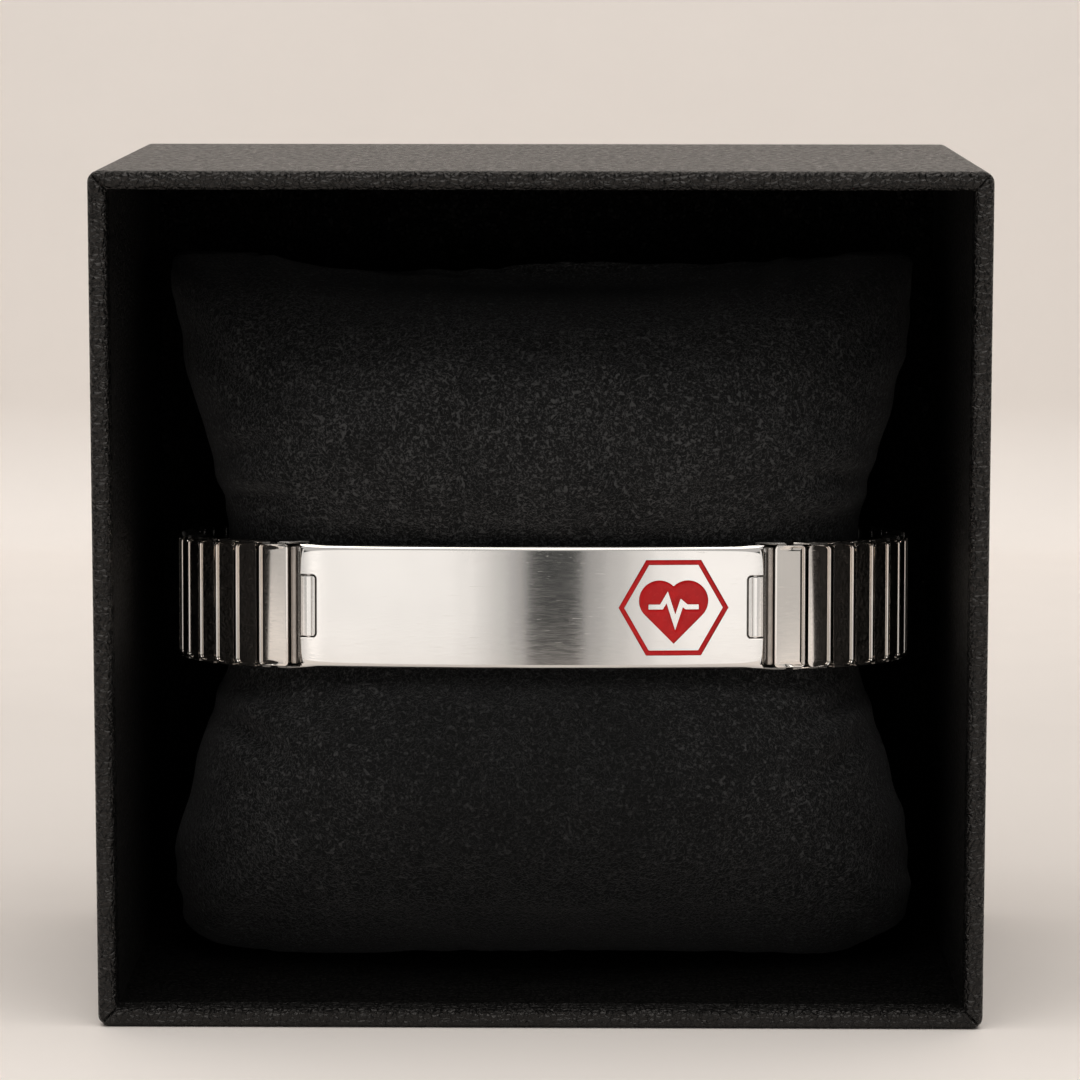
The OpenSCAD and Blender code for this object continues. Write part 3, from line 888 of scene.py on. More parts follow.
makePlate()
makePin("hingePinLeft", -1)
makePin("hingePinRight", 1)
makeEnamelPiece("enamelFrame", frameOutline(0), frameOutline(-plate["frameWide"]), "emblem_frame")
makeEnamelPiece("enamelHeart", heartOutline(0), pulseOutline(plate["enamelGap"]), "emblem_heart")


# Expansion band: top shells, with under links whose staples close the two edges

band = {
    "flatUnder": 0.12,  # how far a shell's flat lies under the plate's face
    "beadWide": 0.13,  # round inner side of the bead along the far edge
    "beadRise": 0.11,  # how far the bead rises over the flat
    "beadEdge": 0.10,  # its round outer side
    "grooveWide": 0.34,
    "grooveDeep": 0.14,
    "footIn": 0.14,  # how far a shell's foot is drawn in
    "nearRadius": 0.004,
    "wideNearRadius": 0.06,
    "wideChamfer": 0.14,
    "chamferTurn": {-1: 14.0, 1: 5.0},  # on the left and on the right
    "wideTilt": 1.2,  # outward tilt of the wide link's flat
    "crown": 0.020,
    "crownWide": 2.58,  # the width of shell that the crown is given for
    "cornerRadius": 0.6,
    "wideCornerRadius": 0.4,
    "shellHigh": 12.7,
    "underWide": 2.2,
    "underHalf": 6.42,
    "underRadius": 0.25,
    "sharpTurn": 48,
    "stapleLow": 6.39,
    "stapleThick": 0.22,
    "stapleBevel": 0.06,
    "stapleIn": 0.02,  # how far its corners are inside its neighbours
    "stapleUnder": 0.30,  # how far its upper edge is under the legs
    "paintedShadeFrom": 35.5,  # staples further from the middle than this take the darker steel, painted shade of the box's sides
    "legWide": 0.89,
    "legThick": 0.42,
    "legTop": 0.84,
    "legAt": 6.36,
    "legHigh": 0.3,
    "legIn": 0.34,
}


def shellProfile(nearRadius, chamfer, chamferTurn):
    # Two profiles of insets and heights with as many rows each, which both end on the flat.
    # Far edge: a small round edge, a quarter ellipse down to a groove, and a slope up to the
    # flat. Near edge: small and round, then a shallow chamfer.
    v = band
    foot = [loop["shellLow"], loop["shellLow"] + 0.1]
    flat = loop["shellTop"] - v["flatUnder"]
    r = v["beadEdge"]
    drop = v["beadRise"] + v["grooveDeep"]
    crest = flat + v["beadRise"]
    turn = np.radians([180, 160, 140, 120, 105, 92])
    down = np.radians(np.linspace(4, 90, 9))
    slope = r + v["beadWide"] + v["grooveWide"]
    farInset = np.concatenate([[v["footIn"], 0.0], r + r * np.cos(turn),
                               r + v["beadWide"] * np.sin(down), [slope, slope + 0.06]])
    farHeight = np.concatenate([foot, crest - r + r * np.sin(turn),
                                crest - drop + drop * np.cos(down), [flat, flat]])
    turn = np.linspace(math.pi, math.pi / 2, 10)
    edge = nearRadius + chamfer
    nearInset = np.concatenate([[v["footIn"], 0.0], nearRadius + nearRadius * np.cos(turn),
                                np.linspace(nearRadius, edge, 3)[1:],
                                np.linspace(edge, farInset[-1], 6)[1:]])
    nearHeight = np.concatenate([foot, flat - nearRadius + nearRadius * np.sin(turn), np.full(7, flat)])
    slant = math.tan(math.radians(chamferTurn))
    return farInset, farHeight, nearInset, nearHeight - np.clip(edge - nearInset, 0, chamfer) * slant


def ladder(start, columns):
    # Quads that join each two neighbouring stations of the upper half with the lower half's
    i = np.arange(columns // 2 - 1)
    return start + np.stack([i, i + 1, columns - 2 - i, columns - 1 - i], -1)


def makeShells(side, middles, width, radius, nearEdge, tilt):
    # The profiles go round the shell's outline. The bead's share falls from the far edge along
    # the two ends: smooth step of (x / half width + 0.45) / 0.9. A tilt lowers the far side,
    # and a crown lowers both: crown * (2u / width)^2.
    v = band
    half = width / 2
    stations = cornerStations([0, 15, 30, 45, 60, 75, 90], [0.75, 0.4, 0.0, -0.5])
    farInset, farHeight, nearInset, nearHeight = (part[:, None] for part in shellProfile(*nearEdge))
    reach = (stations[0] * (half - radius) + radius * np.cos(stations[2])) / half
    share = smoothStep((reach + 0.45) / 0.9)[None]
    inset = share * farInset + (1 - share) * nearInset
    height = share * farHeight + (1 - share) * nearHeight
    u, z = outlineAt(stations, half, v["shellHigh"] / 2, radius, inset, 0.03)
    lower = math.tan(math.radians(tilt)) * (u + half)
    lower = lower + v["crown"] * (2 * u / width) ** 2 * (width / v["crownWide"])
    height = height - lower * (height > loop["shellLow"] + 0.2)
    points = onLoop(side, middles[:, None, None], u[None], height[None], z[None])
    rows, columns = u.shape
    faces, ends = closedGrid(rows, columns)
    return copies(points, [faces, ends[:1], ladder((rows - 1) * columns, columns)], u.size)


def makeBars(side, middles):
    # Under bars: a rounded rectangle carried through its thickness, with a low roof on its outside
    v = band
    inset = np.array([0.20, 0.06, 0.0, 0.0, 0.06, 0.88, 0.98])[:, None]
    share = np.array([0.0, 0.04, 0.16, 0.30, 0.36, 0.96, 1.0])[:, None]
    height = loop["underLow"] + share * (loop["underTop"] - loop["underLow"])
    u, z = outlineAt(cornerStations([0, 45, 90], []), v["underWide"] / 2, v["underHalf"],
                     v["underRadius"], inset, 0.05)
    points = onLoop(side, middles[:, None, None], u[None], height[None], z[None])
    return copies(points, closedGrid(*u.shape), u.size)


def makeStaples(side, corners):
    # Backs of the staples: each outline of corners is a thin plate with sloping edges, whose
    # rows shrink towards its middle, at the top and at the bottom of the band
    thick = band["stapleThick"]
    bevel = band["stapleBevel"]
    middle = corners.mean(1, keepdims=True)
    away = corners - middle
    length = np.linalg.norm(away, axis=-1, keepdims=True)
    inset = np.array([0.03, 0.0, bevel, 2 * bevel])[None, :, None, None]
    flat = middle[:, None] + away[:, None] * (1 - inset / length[:, None])
    rise = (band["stapleLow"] + np.array([0.0, 0.03, thick - 0.03, thick]))[:, None]
    z = np.array([1, -1])[:, None, None, None] * rise
    rows, columns = flat.shape[1:3]
    points = leaned(side * flat[..., 0], flat[..., 1], z)
    return copies(points, closedGrid(rows, columns), rows * columns)


def makeLegs(side, middles, shift):
    # The short stretch of each staple leg that shows between its back and the shell
    v = band
    u, w, z = boxCorners.T
    u = shift[:, None] + v["legWide"] * u[None]
    w = v["legTop"] - v["legThick"] / 2 + v["legThick"] * w
    z = np.array([1, -1])[:, None, None] * (v["legAt"] + v["legHigh"] * z)
    return copies(onLoop(side, middles[:, None], u, w, z), [boxFaces], 8)


boxCorners = np.array([[-1, -1, -1], [1, -1, -1], [1, 1, -1], [-1, 1, -1],
                       [-1, -1, 1], [1, -1, 1], [1, 1, 1], [-1, 1, 1]]) / 2
boxFaces = np.array([[0, 3, 2, 1], [4, 5, 6, 7], [0, 1, 5, 4], [1, 2, 6, 5], [2, 3, 7, 6],
                     [3, 0, 4, 7]])


def legShift(k):
    # How far a leg's middle is from the middle of its shell
    width = np.where(k == 0, loop["endLink"], loop["linkPitch"] - loop["linkGap"])
    return width / 2 - band["legIn"] - band["legWide"] / 2


barSide = band["underWide"] / 2 - band["stapleIn"]
barLow = loop["underLow"] + band["stapleIn"]
stapleHigh = band["legTop"] - band["stapleUnder"]


def cornersAt(*places):
    # A staple's outline from places along the loop, across it and out from it
    return np.stack([np.stack(flatOnLoop(*place), -1) for place in places], 1)


def stapleReach(shift):
    return shift - band["legWide"] / 2 + band["stapleIn"]


def stapleCorners(joint, before, shiftBefore, after, shiftAfter):
    # Corners of a staple's back from the under bar's edges to the legs in the two shells
    half = (barLow + stapleHigh) / 2
    return cornersAt(
        (joint, -barSide, barLow), (joint, barSide, barLow), (joint, barSide, half),
        (after, -stapleReach(shiftAfter), stapleHigh), (joint, 0, stapleHigh),
        (before, stapleReach(shiftBefore), stapleHigh), (joint, -barSide, half))


def makeBandHalf(name, side, joints, node):
    # A wide shell and the usual ones, with staples, under bars and legs at the joints
    v = band
    middles = shellMid(side, np.arange(loop["linksSide"] + 1))
    at = jointAt(side, joints)
    before = shellMid(side, joints - 1)
    after = shellMid(side, joints)
    shiftBefore = legShift(joints - 1)
    shiftAfter = legShift(joints)
    wideEdge = (v["wideNearRadius"], v["wideChamfer"], v["chamferTurn"][side])
    wideShell = makeShells(side, middles[:1], loop["endLink"], v["wideCornerRadius"], wideEdge,
                           v["wideTilt"])
    shells = makeShells(side, middles[1:], loop["linkPitch"] - loop["linkGap"], v["cornerRadius"],
                        (v["nearRadius"], 0.0, 0.0), 0.0)
    staples = makeStaples(side, stapleCorners(at, before, shiftBefore, after, shiftAfter))
    piece = joined(name, [wideShell, shells, staples, makeBars(side, at),
                          makeLegs(side, before, shiftBefore), makeLegs(side, after, -shiftAfter)])
    sharpened(piece, band["sharpTurn"])
    # Bars, legs and the far staples take the darker steel: painted shade in the gaps under the shells and
    # of the box's sides
    index = np.arange(len(piece.data.polygons))
    farSide = np.abs(vectorsOf(piece.data.polygons, "center")[:, 0]) > v["paintedShadeFrom"] * mm
    darker = (index >= countFaces(wideShell, shells)) & farSide
    darker |= index >= countFaces(wideShell, shells, staples)
    dressed(piece, [bandSteel, paintedShadeSteel], [node], darker)


makeBandHalf("bandLinksRight", 1, np.arange(1, loop["linksSide"] + 2), "band_right")
makeBandHalf("bandLinksLeft", -1, np.arange(1, loop["linksSide"] + 1), "band_left")


# End hooks: a rolled tongue round the plate's pin, on a bar with staples to the wide link

hook = {
    "gap": 0.12,
    "faceUnder": 0.03,
    "innerRadius": 0.33,
    "edgeRadius": 0.12,
    "outerRadius": 0.20,
    "ease": 0.05,  # radius of the tongue's upper and lower edges
    "seamIn": 0.36,  # from the tongue's inner edge
    "seamWide": 0.07,
    "seamDeep": 0.09,
    "strapFrom": 0.44,  # folded strap beside the wide link, from the plate's end
    "strapTo": 1.03,
    "strapTop": 0.80,
    "strapHalf": 6.1,
    "strapFoot": -0.3,
    "strapWorn": 0.03,
}


def tongueProfile():
    # From the foot up the inner side, over a small round edge, through the seam, along the face
    # and over a larger round edge down to the foot again
    v = hook
    face = loop["shellTop"] - v["faceUnder"]
    foot = (loop["underLow"] + loop["underTop"]) / 2
    inner = -plate["notchDeep"] + v["gap"]
    turn = np.linspace(math.pi, math.pi / 2, 6)
    outTurn = turn[::-1] - math.pi / 2
    r = v["edgeRadius"]
    big = v["outerRadius"]
    seam = inner + v["seamIn"] + v["seamWide"] * np.array([-1.2, -0.6, -0.25, 0.25, 0.6, 1.2])
    u = np.concatenate([[inner, inner], inner + r + r * np.cos(turn), seam, [-0.75, -0.5],
                        -big + big * np.cos(outTurn), [0.0, 0.0]])
    w = np.concatenate([
        [foot, 0.2], face - r + r * np.sin(turn),
        face - v["seamDeep"] * np.array([0.0, 0.12, 1.0, 1.0, 0.12, 0.0]),
        [face, face], face - big + big * np.sin(outTurn), [0.2, foot]])
    return u, w


def roundedBy(radius, near):
    # How far a round edge lies inside its sharp one: r - sqrt(r2 - (r - near)2)
    return radius - np.sqrt(np.maximum(radius ** 2 - (radius - np.minimum(near, radius)) ** 2, 0))


def makeTongue(side):
    # The profile is carried up the notch. Near its ends the inner corners are round, and the
    # last rows shrink for an eased edge.
    v = hook
    u, w = tongueProfile()
    half = plate["notchHigh"] / 2 - v["gap"]
    steps = np.array([0.0, 0.02, 0.06, 0.12, 0.2, 0.28, 0.36, 1.0, 2.0])
    z = np.concatenate([-half + steps, half - steps[::-1]])[:, None]
    near = half - np.abs(z)
    ease = roundedBy(v["ease"], near)
    inner = u.min() + roundedBy(v["innerRadius"], near)
    u = np.minimum(np.maximum(u[None], inner), u.max() - ease)
    w = np.minimum(w[None], w.max() - ease)
    return copies(onLoop(side, plateEnd(side), u, w, z), closedGrid(*u.shape), u.size)


def makeStrap(side):
    # A half-round fold carried up the end gap: its width times (cos, sin) of a half turn, which
    # swells and shrinks a little along its length
    v = hook
    turn = np.linspace(math.pi, 0, 11)
    half = (v["strapTo"] - v["strapFrom"]) / 2
    foot = [v["strapFoot"]]
    u = np.concatenate([[v["strapFrom"]], v["strapFrom"] + half + half * np.cos(turn), [v["strapTo"]]])
    w = np.concatenate([foot, v["strapTop"] - 0.2 + 0.2 * np.sin(turn), foot])[None]
    share = np.concatenate([[-1, -0.985], np.linspace(-0.96, 0.96, 21), [0.985, 1]])
    z = share[:, None] * v["strapHalf"]
    ease = np.concatenate([[0.12, 0.03], np.zeros(21), [0.03, 0.12]])[:, None]
    worn = v["strapWorn"] * np.sin(z * 1.9) * np.sin(z * 0.83 + 1.1)
    w = w - (ease + worn) * (w > 0)
    return copies(onLoop(side, plateEnd(side), u[None], w, z), closedGrid(*w.shape), w.size)


def makeHook(name, side, node):
    # The strap is of hinge steel, the tongue of plate steel and the rest of the darker steel, painted
    # shade in the gaps
    first = np.array([0])
    at = np.array([plateEnd(side) + loop["endGap"] / 2])
    after = shellMid(side, first)
    shift = legShift(first)
    corners = cornersAt(
        (at, -barSide, barLow), (at, barSide, barLow), (after, -stapleReach(shift), stapleHigh),
        (after, -loop["endLink"] / 2, stapleHigh))
    strap = makeStrap(side)
    tongue = makeTongue(side)
    piece = joined(name, [strap, tongue, makeBars(side, at), makeStaples(side, corners),
                          makeLegs(side, after, -shift)])
    sharpened(piece, band["sharpTurn"])
    finish = np.zeros(len(piece.data.polygons))
    finish[:countFaces(strap, tongue)] = 2
    finish[:countFaces(strap)] = 1
    dressed(piece, [paintedShadeSteel, hingeSteel, plateSteel], [node], finish)


makeHook("endHookRight", 1, "end_hook_right")
makeHook("endHookLeft", -1, "end_hook_left")


# Pillow: two stuffed lobes with a waist inside the band

pillow = {
    "width": 79.0,
    "height": 74.5,
    "depth": 43.0,
    "gap": 0.3,
    "foot": -38.13,
    "middle": 17.063,
    "bandEdge": 6.97,
    "power": 2.4,
    "waistShare": 0.965,
    "shrink": 0.25,
    # rise, half width, half depth and share of the lobe's own outline
    "lower": [(0, 0.89, 0.9, 0), (0.05, 0.9, 0.9, 0.4), (0.12, 0.915, 0.95, 0.8), (0.25, 0.94, 0.99, 1),
              (0.4, 0.965, 1, 1), (0.6, 0.99, 0.91, 1), (0.76, 1, 0.74, 1), (0.88, 0.955, 0.53, 1),
              (0.95, 0.885, 0.36, 1), (0.99, 0.8, 0.2, 1), (1, 0.73, 0.1, 1)],
    "upper": [(0, 0.885, 0.9, 0), (0.05, 0.885, 0.9, 0.4), (0.12, 0.895, 0.95, 0.8), (0.25, 0.92, 0.99, 1),
              (0.4, 0.945, 1, 1), (0.6, 0.97, 0.9, 1), (0.78, 0.99, 0.7, 1), (0.9, 0.99, 0.48, 1),
              (0.96, 0.965, 0.32, 1), (0.99, 0.92, 0.18, 1), (1, 0.86, 0.09, 1)],
    "lobeSizes": (34, 38, 20),  # what a row's first three values are shares of, for its length
    "lowerSag": 0.03,
    "upperSag": 0.155,
    "rows": 40,
    "sides": 144,
}


def pillowRings(table, edge, end, sag):
    # Rows of a lobe's table, drawn through by length; each ring blends the inside of the band
    # with a superellipse, and sags between its corners
    v = pillow
    table = np.array(table)
    step = np.linalg.norm(np.diff(table[:, :3] * v["lobeSizes"], axis=0), axis=1)
    length = np.concatenate([[0], np.cumsum(step)])
    fine = np.linspace(0, length[-1], v["rows"])
    rise, wide, deep, full = (np.interp(fine, length, column)[:, None] for column in table.T)
    turn = (np.arange(v["sides"]) / v["sides"])[None] * 2 * math.pi
    sine, cosine = (np.sign(wave) * np.abs(wave) ** (2 / v["power"])
                    for wave in (np.sin(turn), np.cos(turn)))
    lobeX = wide * v["width"] / 2 * sine
    lobeY = v["middle"] - deep * v["depth"] / 2 * cosine
    waistX, waistY = flatOnLoop(turn / (2 * math.pi) * loopLength, 0, loop["underLow"] - v["gap"])
    x = full * lobeX + (1 - full) * waistX * v["waistShare"]
    y = full * lobeY + (1 - full) * waistY
    hang = 1 - sag * rise ** 2 * np.maximum(0, 1 - (2 * x / (wide * v["width"])) ** 2)
    return np.stack([x, y, edge + (end - edge) * rise * hang], -1)


def makePillow():
    v = pillow
    lower = pillowRings(v["lower"], -v["bandEdge"], v["foot"], v["lowerSag"])[::-1]
    upper = pillowRings(v["upper"], v["bandEdge"], v["foot"] + v["height"], v["upperSag"])
    rings = np.concatenate([lower, upper])
    # Starts a little smaller than its solid, drawn towards the middle of each ring
    away = rings[..., :2] - [0, v["middle"]]
    length = np.linalg.norm(away, axis=-1, keepdims=True)
    rings[..., :2] -= away / np.maximum(length, 1e-6) * v["shrink"]
    z = rings[..., 2]
    z -= np.sign(z) * v["shrink"] * (np.abs(z) > 10)
    points = leaned(rings[..., 0], rings[..., 1], z)
    return makePiece("pillowCushion", points, closedGrid(*rings.shape[:2]))


cushioning = {
    "voxel": 1.25,
    "scale": 10.0,  # the cloth is worked at ten times its size, where Blender's cloth is steady
    "steps": 20,
    "outCap": 0.75,
    "inCap": 2.0,
    "acrossCap": 1.5,
    "pinnedUpTo": 5.5,
    "pinnedFade": 3.0,
    "freeFrom": 11.0,
    "seamDeep": 0.35,
    "seamWide": 0.75,
    "puckerHigh": 0.16,
    "puckerPitch": 4.6,
    "puckerWide": 4.2,
    "foldHigh": 1.0,
    "foldPitch": 4.2,
    "foldIn": 6.0,  # how far inside the pillow's sides the folds are highest
    "foldUp": 6.5,  # how far above the band
    "cornerFold": 0.52,
    "cornerReach": 9.0,
    "unevenHigh": 0.225,
    "widen": 0.027,  # how much wider the lobes end
    "taper": 0.063,  # how much narrower they get from there to the band
    "lengthen": 0.015,  # how much longer they get
}

# Cloth with air pressure inside and some slack, which is spare fabric as a share of its length
clothSettings = {
    "quality": 5,
    "mass": 0.2,
    "tension_stiffness": 12,
    "compression_stiffness": 12,
    "shear_stiffness": 6,
    "bending_stiffness": 0.4,
    "use_pressure": True,
    "uniform_pressure_force": 9.0,
    "shrink_min": -0.05,
    "vertex_group_mass": "held",
}


def modified(piece, name, kind, settings):
    # Adds a modifier and makes its result the piece's own mesh
    setAll(piece.modifiers.new(name, kind), settings)
    graph = bpy.context.evaluated_depsgraph_get()
    mesh = bpy.data.meshes.new_from_object(piece.evaluated_get(graph))
    piece.modifiers.clear()
    piece.data = mesh


def stuffed(piece):
    # Moves of the points by the cloth, which the band holds at the waist
    v = cushioning
    start = vectorsOf(piece.data.vertices)
    middle = start.mean(0)
    height = np.abs(unleaned(start)[:, 2])
    work = bpy.data.objects.new("clothWork", piece.data.copy())
    bpy.context.scene.collection.objects.link(work)
    setPoints(work.data, (start - middle) * v["scale"])
    held = work.vertex_groups.new(name="held")
    share = 1 - smoothStep((height - v["pinnedUpTo"]) / v["pinnedFade"])
    for level in np.linspace(0.1, 1.0, 10):
        held.add(np.flatnonzero(np.abs(share - level) <= 0.05).tolist(), float(level), "REPLACE")
    cloth = work.modifiers.new("stuffing", "CLOTH")
    setAll(cloth.settings, clothSettings)
    cloth.settings.effector_weights.gravity = 0
    cloth.collision_settings.use_collision = False
    cloth.point_cache.frame_start = 1
    cloth.point_cache.frame_end = v["steps"]
    for step in range(1, v["steps"] + 1):
        bpy.context.scene.frame_set(step)
    done = work.evaluated_get(bpy.context.evaluated_depsgraph_get()).to_mesh()
    moved = vectorsOf(done.vertices) / v["scale"] + middle - start
    bpy.data.objects.remove(work)
    bpy.context.scene.frame_set(1)
    return moved


def capped(piece, moved):
    # Limits how far each point goes along its normal and across it, and lets the move grow
    # from nothing at the band's edge
    v = cushioning
    normals = vectorsOf(piece.data.vertex_normals, "vector")
    out = (moved * normals).sum(1)
    across = moved - out[:, None] * normals
    outCap = v["outCap"] * (1 - 0.6 * np.abs(normals[:, 0])) * mm
    out = np.clip(out, -v["inCap"] * mm, outCap)
    length = np.linalg.norm(across, axis=1)
    across = across * np.minimum(1, v["acrossCap"] * mm / np.maximum(length, 1e-9))[:, None]
    height = np.abs(unleaned(vectorsOf(piece.data.vertices))[:, 2])
    free = smoothStep((height - v["pinnedUpTo"]) / (v["freeFrom"] - v["pinnedUpTo"]))
    return free[:, None] * (across + out[:, None] * normals)


def creased(piece):
    # Moves points along their normals, in millimetres:
    # a groove and puckers along the seam that halves each lobe, folds that fan out from the
    # two ends of the waist, short folds in the corners, and slow waves over everything
    v = cushioning
    points = vectorsOf(piece.data.vertices)
    normals = vectorsOf(piece.data.vertex_normals, "vector")
    x, y, z = unleaned(points).T
    y = y - pillow["middle"]
    wide = np.abs(x)
    high = np.abs(z)
    signX = np.sign(x)
    signZ = np.sign(z)
    signBoth = np.sign(x * z)
    push = -v["seamDeep"] * np.exp(-(y / v["seamWide"]) ** 2)
    along = np.where(wide > 30, z, x)
    pucker = np.sin(2 * math.pi * along / v["puckerPitch"] + 2.6 * np.sin(along / 5.1) + 0.8 * signZ)
    pucker = pucker * (0.6 + 0.4 * np.sin(along / 3.7 + 1.9 * signX))
    push += v["puckerHigh"] * pucker * np.exp(-(y / v["puckerWide"]) ** 2)
    inwards = np.clip(38 - wide, 0, None)
    rise = high - 6.5
    fan = rise / (1 + 0.055 * inwards) + 0.10 * inwards * signZ
    waves = np.sin(2 * math.pi * fan / v["foldPitch"] + 1.7 * signX + 0.9 * signZ)
    waves = waves * (0.8 + 0.2 * np.sin(0.9 * rise + 2.0 * signBoth))
    near = np.exp(-((inwards - v["foldIn"]) / 5) ** 2) * np.clip(inwards / v["foldIn"], 0.08, 1)
    push += v["foldHigh"] * waves * near * np.exp(-((rise - v["foldUp"]) / 6.5) ** 2)
    corner = np.hypot(wide - 36, high - 33)
    cornerWaves = np.sin(11 * np.arctan2(wide - 24, high - 20) + 0.7 * signBoth)
    push += v["cornerFold"] * cornerWaves * np.exp(-(corner / v["cornerReach"]) ** 2)
    slow = (np.sin(x / 5.3 + 1.3 * np.sin(z / 7.7) + 0.6) * np.sin(z / 6.1 + 0.9 * np.sin(x / 9.2))
            + 0.6 * np.sin(x / 2.9 + z / 4.3 + 1.1 * np.sin(y / 5)) * np.sin(z / 3.4 - 0.7))
    push += v["unevenHigh"] * slow
    shape = points + (smoothStep((high - 7.5) / 4) * push)[:, None] * mm * normals
    # The lobes widen and lengthen away from the band
    shape[:, 0] *= 1 + v["widen"] - v["taper"] * np.clip((38 - high) / 24, 0, 1)
    shape[:, 2] += v["lengthen"] * smoothStep((high - 20) / 18) * z * mm
    return shape


def finishPillow(piece):
    modified(piece, "evenMesh", "REMESH", {"mode": "VOXEL", "voxel_size": cushioning["voxel"] * mm})
    print("pillow remeshed:", len(piece.data.vertices), "points")
    moved = capped(piece, stuffed(piece))
    setPoints(piece.data, vectorsOf(piece.data.vertices) + moved)
    meanMove = float(np.linalg.norm(moved, axis=1).mean()) / mm
    print("pillow stuffed, mean move", round(meanMove, 2), "mm")
    modified(piece, "smooth", "SUBSURF", {"levels": 1, "render_levels": 1})
    # It stays inside the space of its solid, clear of the box's walls
    setPoints(piece.data, np.clip(creased(piece), *np.array(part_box("pillow"))))
    piece.data.polygons.foreach_set("use_smooth", np.ones(len(piece.data.polygons), bool))
    dressed(piece, [suedeMaterial], ["pillow"])


finishPillow(makePillow())


# Stage, light and camera

stage = {
    "halfWide": 1.3,
    "front": -0.80,
    "wallAt": 0.34,
    "cove": 0.025,
    "wallHigh": 1.0,
    "colour": (0.85, 0.805, 0.77),
    "shade": 0.78,  # painted shade: the paper is a little darker beside and behind the box, where the box shades it
}


def makePaper():
    material, shader, place = newMaterial("studioPaper", {"Specular IOR Level": 0.15})
    tree = shader.id_data
    mottle = noise(place, 55.0, 1.0, 0.6)
    axes = axesOf(place)
    # Painted shadow of the box: darker from just in front of it back towards the wall
    paintedShadow = times(ranged(axes["Y"], -0.045, 0.03), ranged(axes["Y"], 0.12, 0.33, 1.0, 0.0))
    tone = plus(times(plus(noise(place, 3.0, 0.0, 0.5), mottle), 0.12), paintedShadow)
    low = [stage["shade"] * value for value in stage["colour"]]
    setInputs(shader, {
        "Base Color": mixed(tone, stage["colour"], low),
        "Roughness": ranged(mottle, 0.3, 0.7, 0.8, 0.95)})
    # The wall can be looked through from behind
    back = addNode(tree, "ShaderNodeNewGeometry", {}).outputs["Backfacing"]
    clear = addNode(tree, "ShaderNodeBsdfTransparent", {}).outputs[0]
    mix = addNode(tree, "ShaderNodeMixShader", {0: back, 1: shader.outputs[0], 2: clear})
    setInputs(tree.nodes["Material Output"], {"Surface": mix.outputs[0]})
    return material


def makeStage():
    # Floor, a quarter circle of the cove and a wall, carried straight across
    v = stage
    turn = np.linspace(0, math.pi / 2, 24)
    y = np.concatenate([np.linspace(v["front"], v["wallAt"] - v["cove"], 8)[:-1],
                        v["wallAt"] - v["cove"] + v["cove"] * np.sin(turn),
                        np.full(4, v["wallAt"])])[:, None]
    z = np.concatenate([np.zeros(7), v["cove"] - v["cove"] * np.cos(turn),
                        np.linspace(v["cove"], v["wallHigh"], 5)[1:]])[:, None]
    x = np.linspace(-v["halfWide"], v["halfWide"], 5)[None]
    points = np.stack(np.broadcast_arrays(x, y, z), -1)
    piece = makePiece("studioSweep", points, [gridFaces(len(y), 5, False)], outward=False)
    piece.data.materials.append(makePaper())


# Low panels stand on the floor in front of the box, in steps that fade towards the middle.
# Each has an angle from straight ahead, a width, a height and a brightness.
lowPanels = {
    "frontLeft": (-16.5, 0.163, 0.14, 1.03),
    "frontLeftSoft": (-8.3, 0.022, 0.14, 0.93),
    "frontLeftSofter": (-6.5, 0.020, 0.14, 0.80),
    "frontLeftPale": (-4.7, 0.020, 0.14, 0.62),
    "frontLeftPalest": (-2.9, 0.019, 0.14, 0.42),
    "sideLeft": (-52.5, 0.74, 0.17, 0.50),
    "frontRight": (17.2, 0.085, 0.14, 1.10),
    "frontRightSoft": (11.9, 0.034, 0.14, 0.98),
    "frontRightSofter": (9.2, 0.026, 0.14, 0.75),
    "frontRightPale": (6.9, 0.026, 0.14, 0.56),
    "frontRightPalest": (4.6, 0.026, 0.14, 0.38),
    "sideRight": (50.5, 0.74, 0.17, 0.58),
}
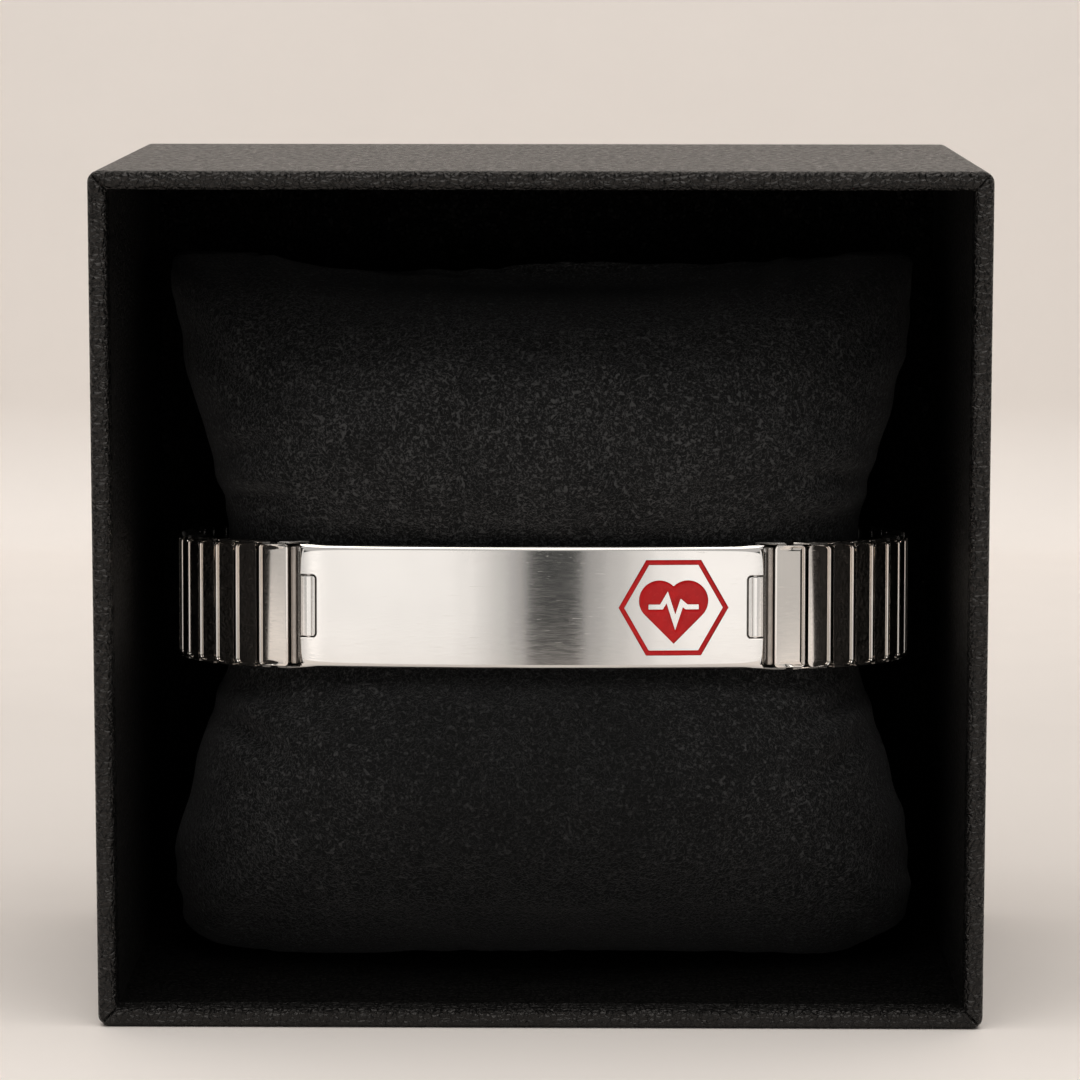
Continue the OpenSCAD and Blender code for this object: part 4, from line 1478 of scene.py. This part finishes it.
# Each high panel has a place, a point that it faces, a width, a height and a brightness
highPanels = {
    "frontHigh": ((0.0, -0.57, 0.545), (0.0, -0.02, 0.05), 1.7, 0.38, 0.50),
    "backdrop": ((0.0, -0.06, 0.60), (0.0, 0.34, 0.42), 1.2, 0.2, 1.9),
    "overhead": ((0.0, -0.16, 0.85), (0.0, 0.02, 0.0), 1.2, 0.9, 2.12),
}
studio = {
    "panelDistance": 0.64,
    "panelColour": (1.0, 0.965, 0.93),
    "overheadColour": (1.0, 0.965, 0.925),
    "worldColour": (0.96, 1.0, 0.98, 1),
    "worldStrength": 0.055,
    "lens": 148.0,
    "cameraPlace": (0.0049, -0.4684, 0.1110),
    "cameraTurn": (90 - 7.868, -0.03, 0.643),
}


def placed(name, data):
    thing = bpy.data.objects.new(name, data)
    bpy.context.scene.collection.objects.link(thing)
    return thing


def makePanel(name, place, target, width, high, bright):
    # An area light's power is pi times its area times its brightness
    data = bpy.data.lights.new(name, "AREA")
    colour = studio["overheadColour"] if name == "overhead" else studio["panelColour"]
    setAll(data, {"shape": "RECTANGLE", "size": width, "size_y": high, "color": colour,
                  "energy": math.pi * width * high * bright})
    light = placed(name, data)
    light.location = place
    light.rotation_euler = (Vector(target) - Vector(place)).to_track_quat("-Z", "Y").to_euler()
    light.visible_camera = False


def makeLights():
    distance = studio["panelDistance"]
    for name, (degrees, *rest) in lowPanels.items():
        angle = math.radians(degrees)
        place = (distance * math.sin(angle), -0.02 - distance * math.cos(angle), 0.075)
        makePanel(name, place, (0.0, -0.02, 0.07), *rest)
    for name, panel in highPanels.items():
        makePanel(name, *panel)
    world = bpy.data.worlds.new("studioWorld")
    world.use_nodes = True
    setInputs(world.node_tree.nodes["Background"], {
        "Color": studio["worldColour"], "Strength": studio["worldStrength"]})
    bpy.context.scene.world = world


def makeCamera():
    data = bpy.data.cameras.new("photoCamera")
    setAll(data, {
        "lens": studio["lens"], "sensor_width": 36.0, "clip_start": 0.01, "clip_end": 20.0})
    camera = placed("photoCamera", data)
    camera.location = studio["cameraPlace"]
    camera.rotation_euler = [math.radians(turn) for turn in studio["cameraTurn"]]
    bpy.context.scene.camera = camera


makeStage()
makeLights()
makeCamera()
bpy.context.scene.view_settings.view_transform = "Standard"
print("stage, lights and camera made")
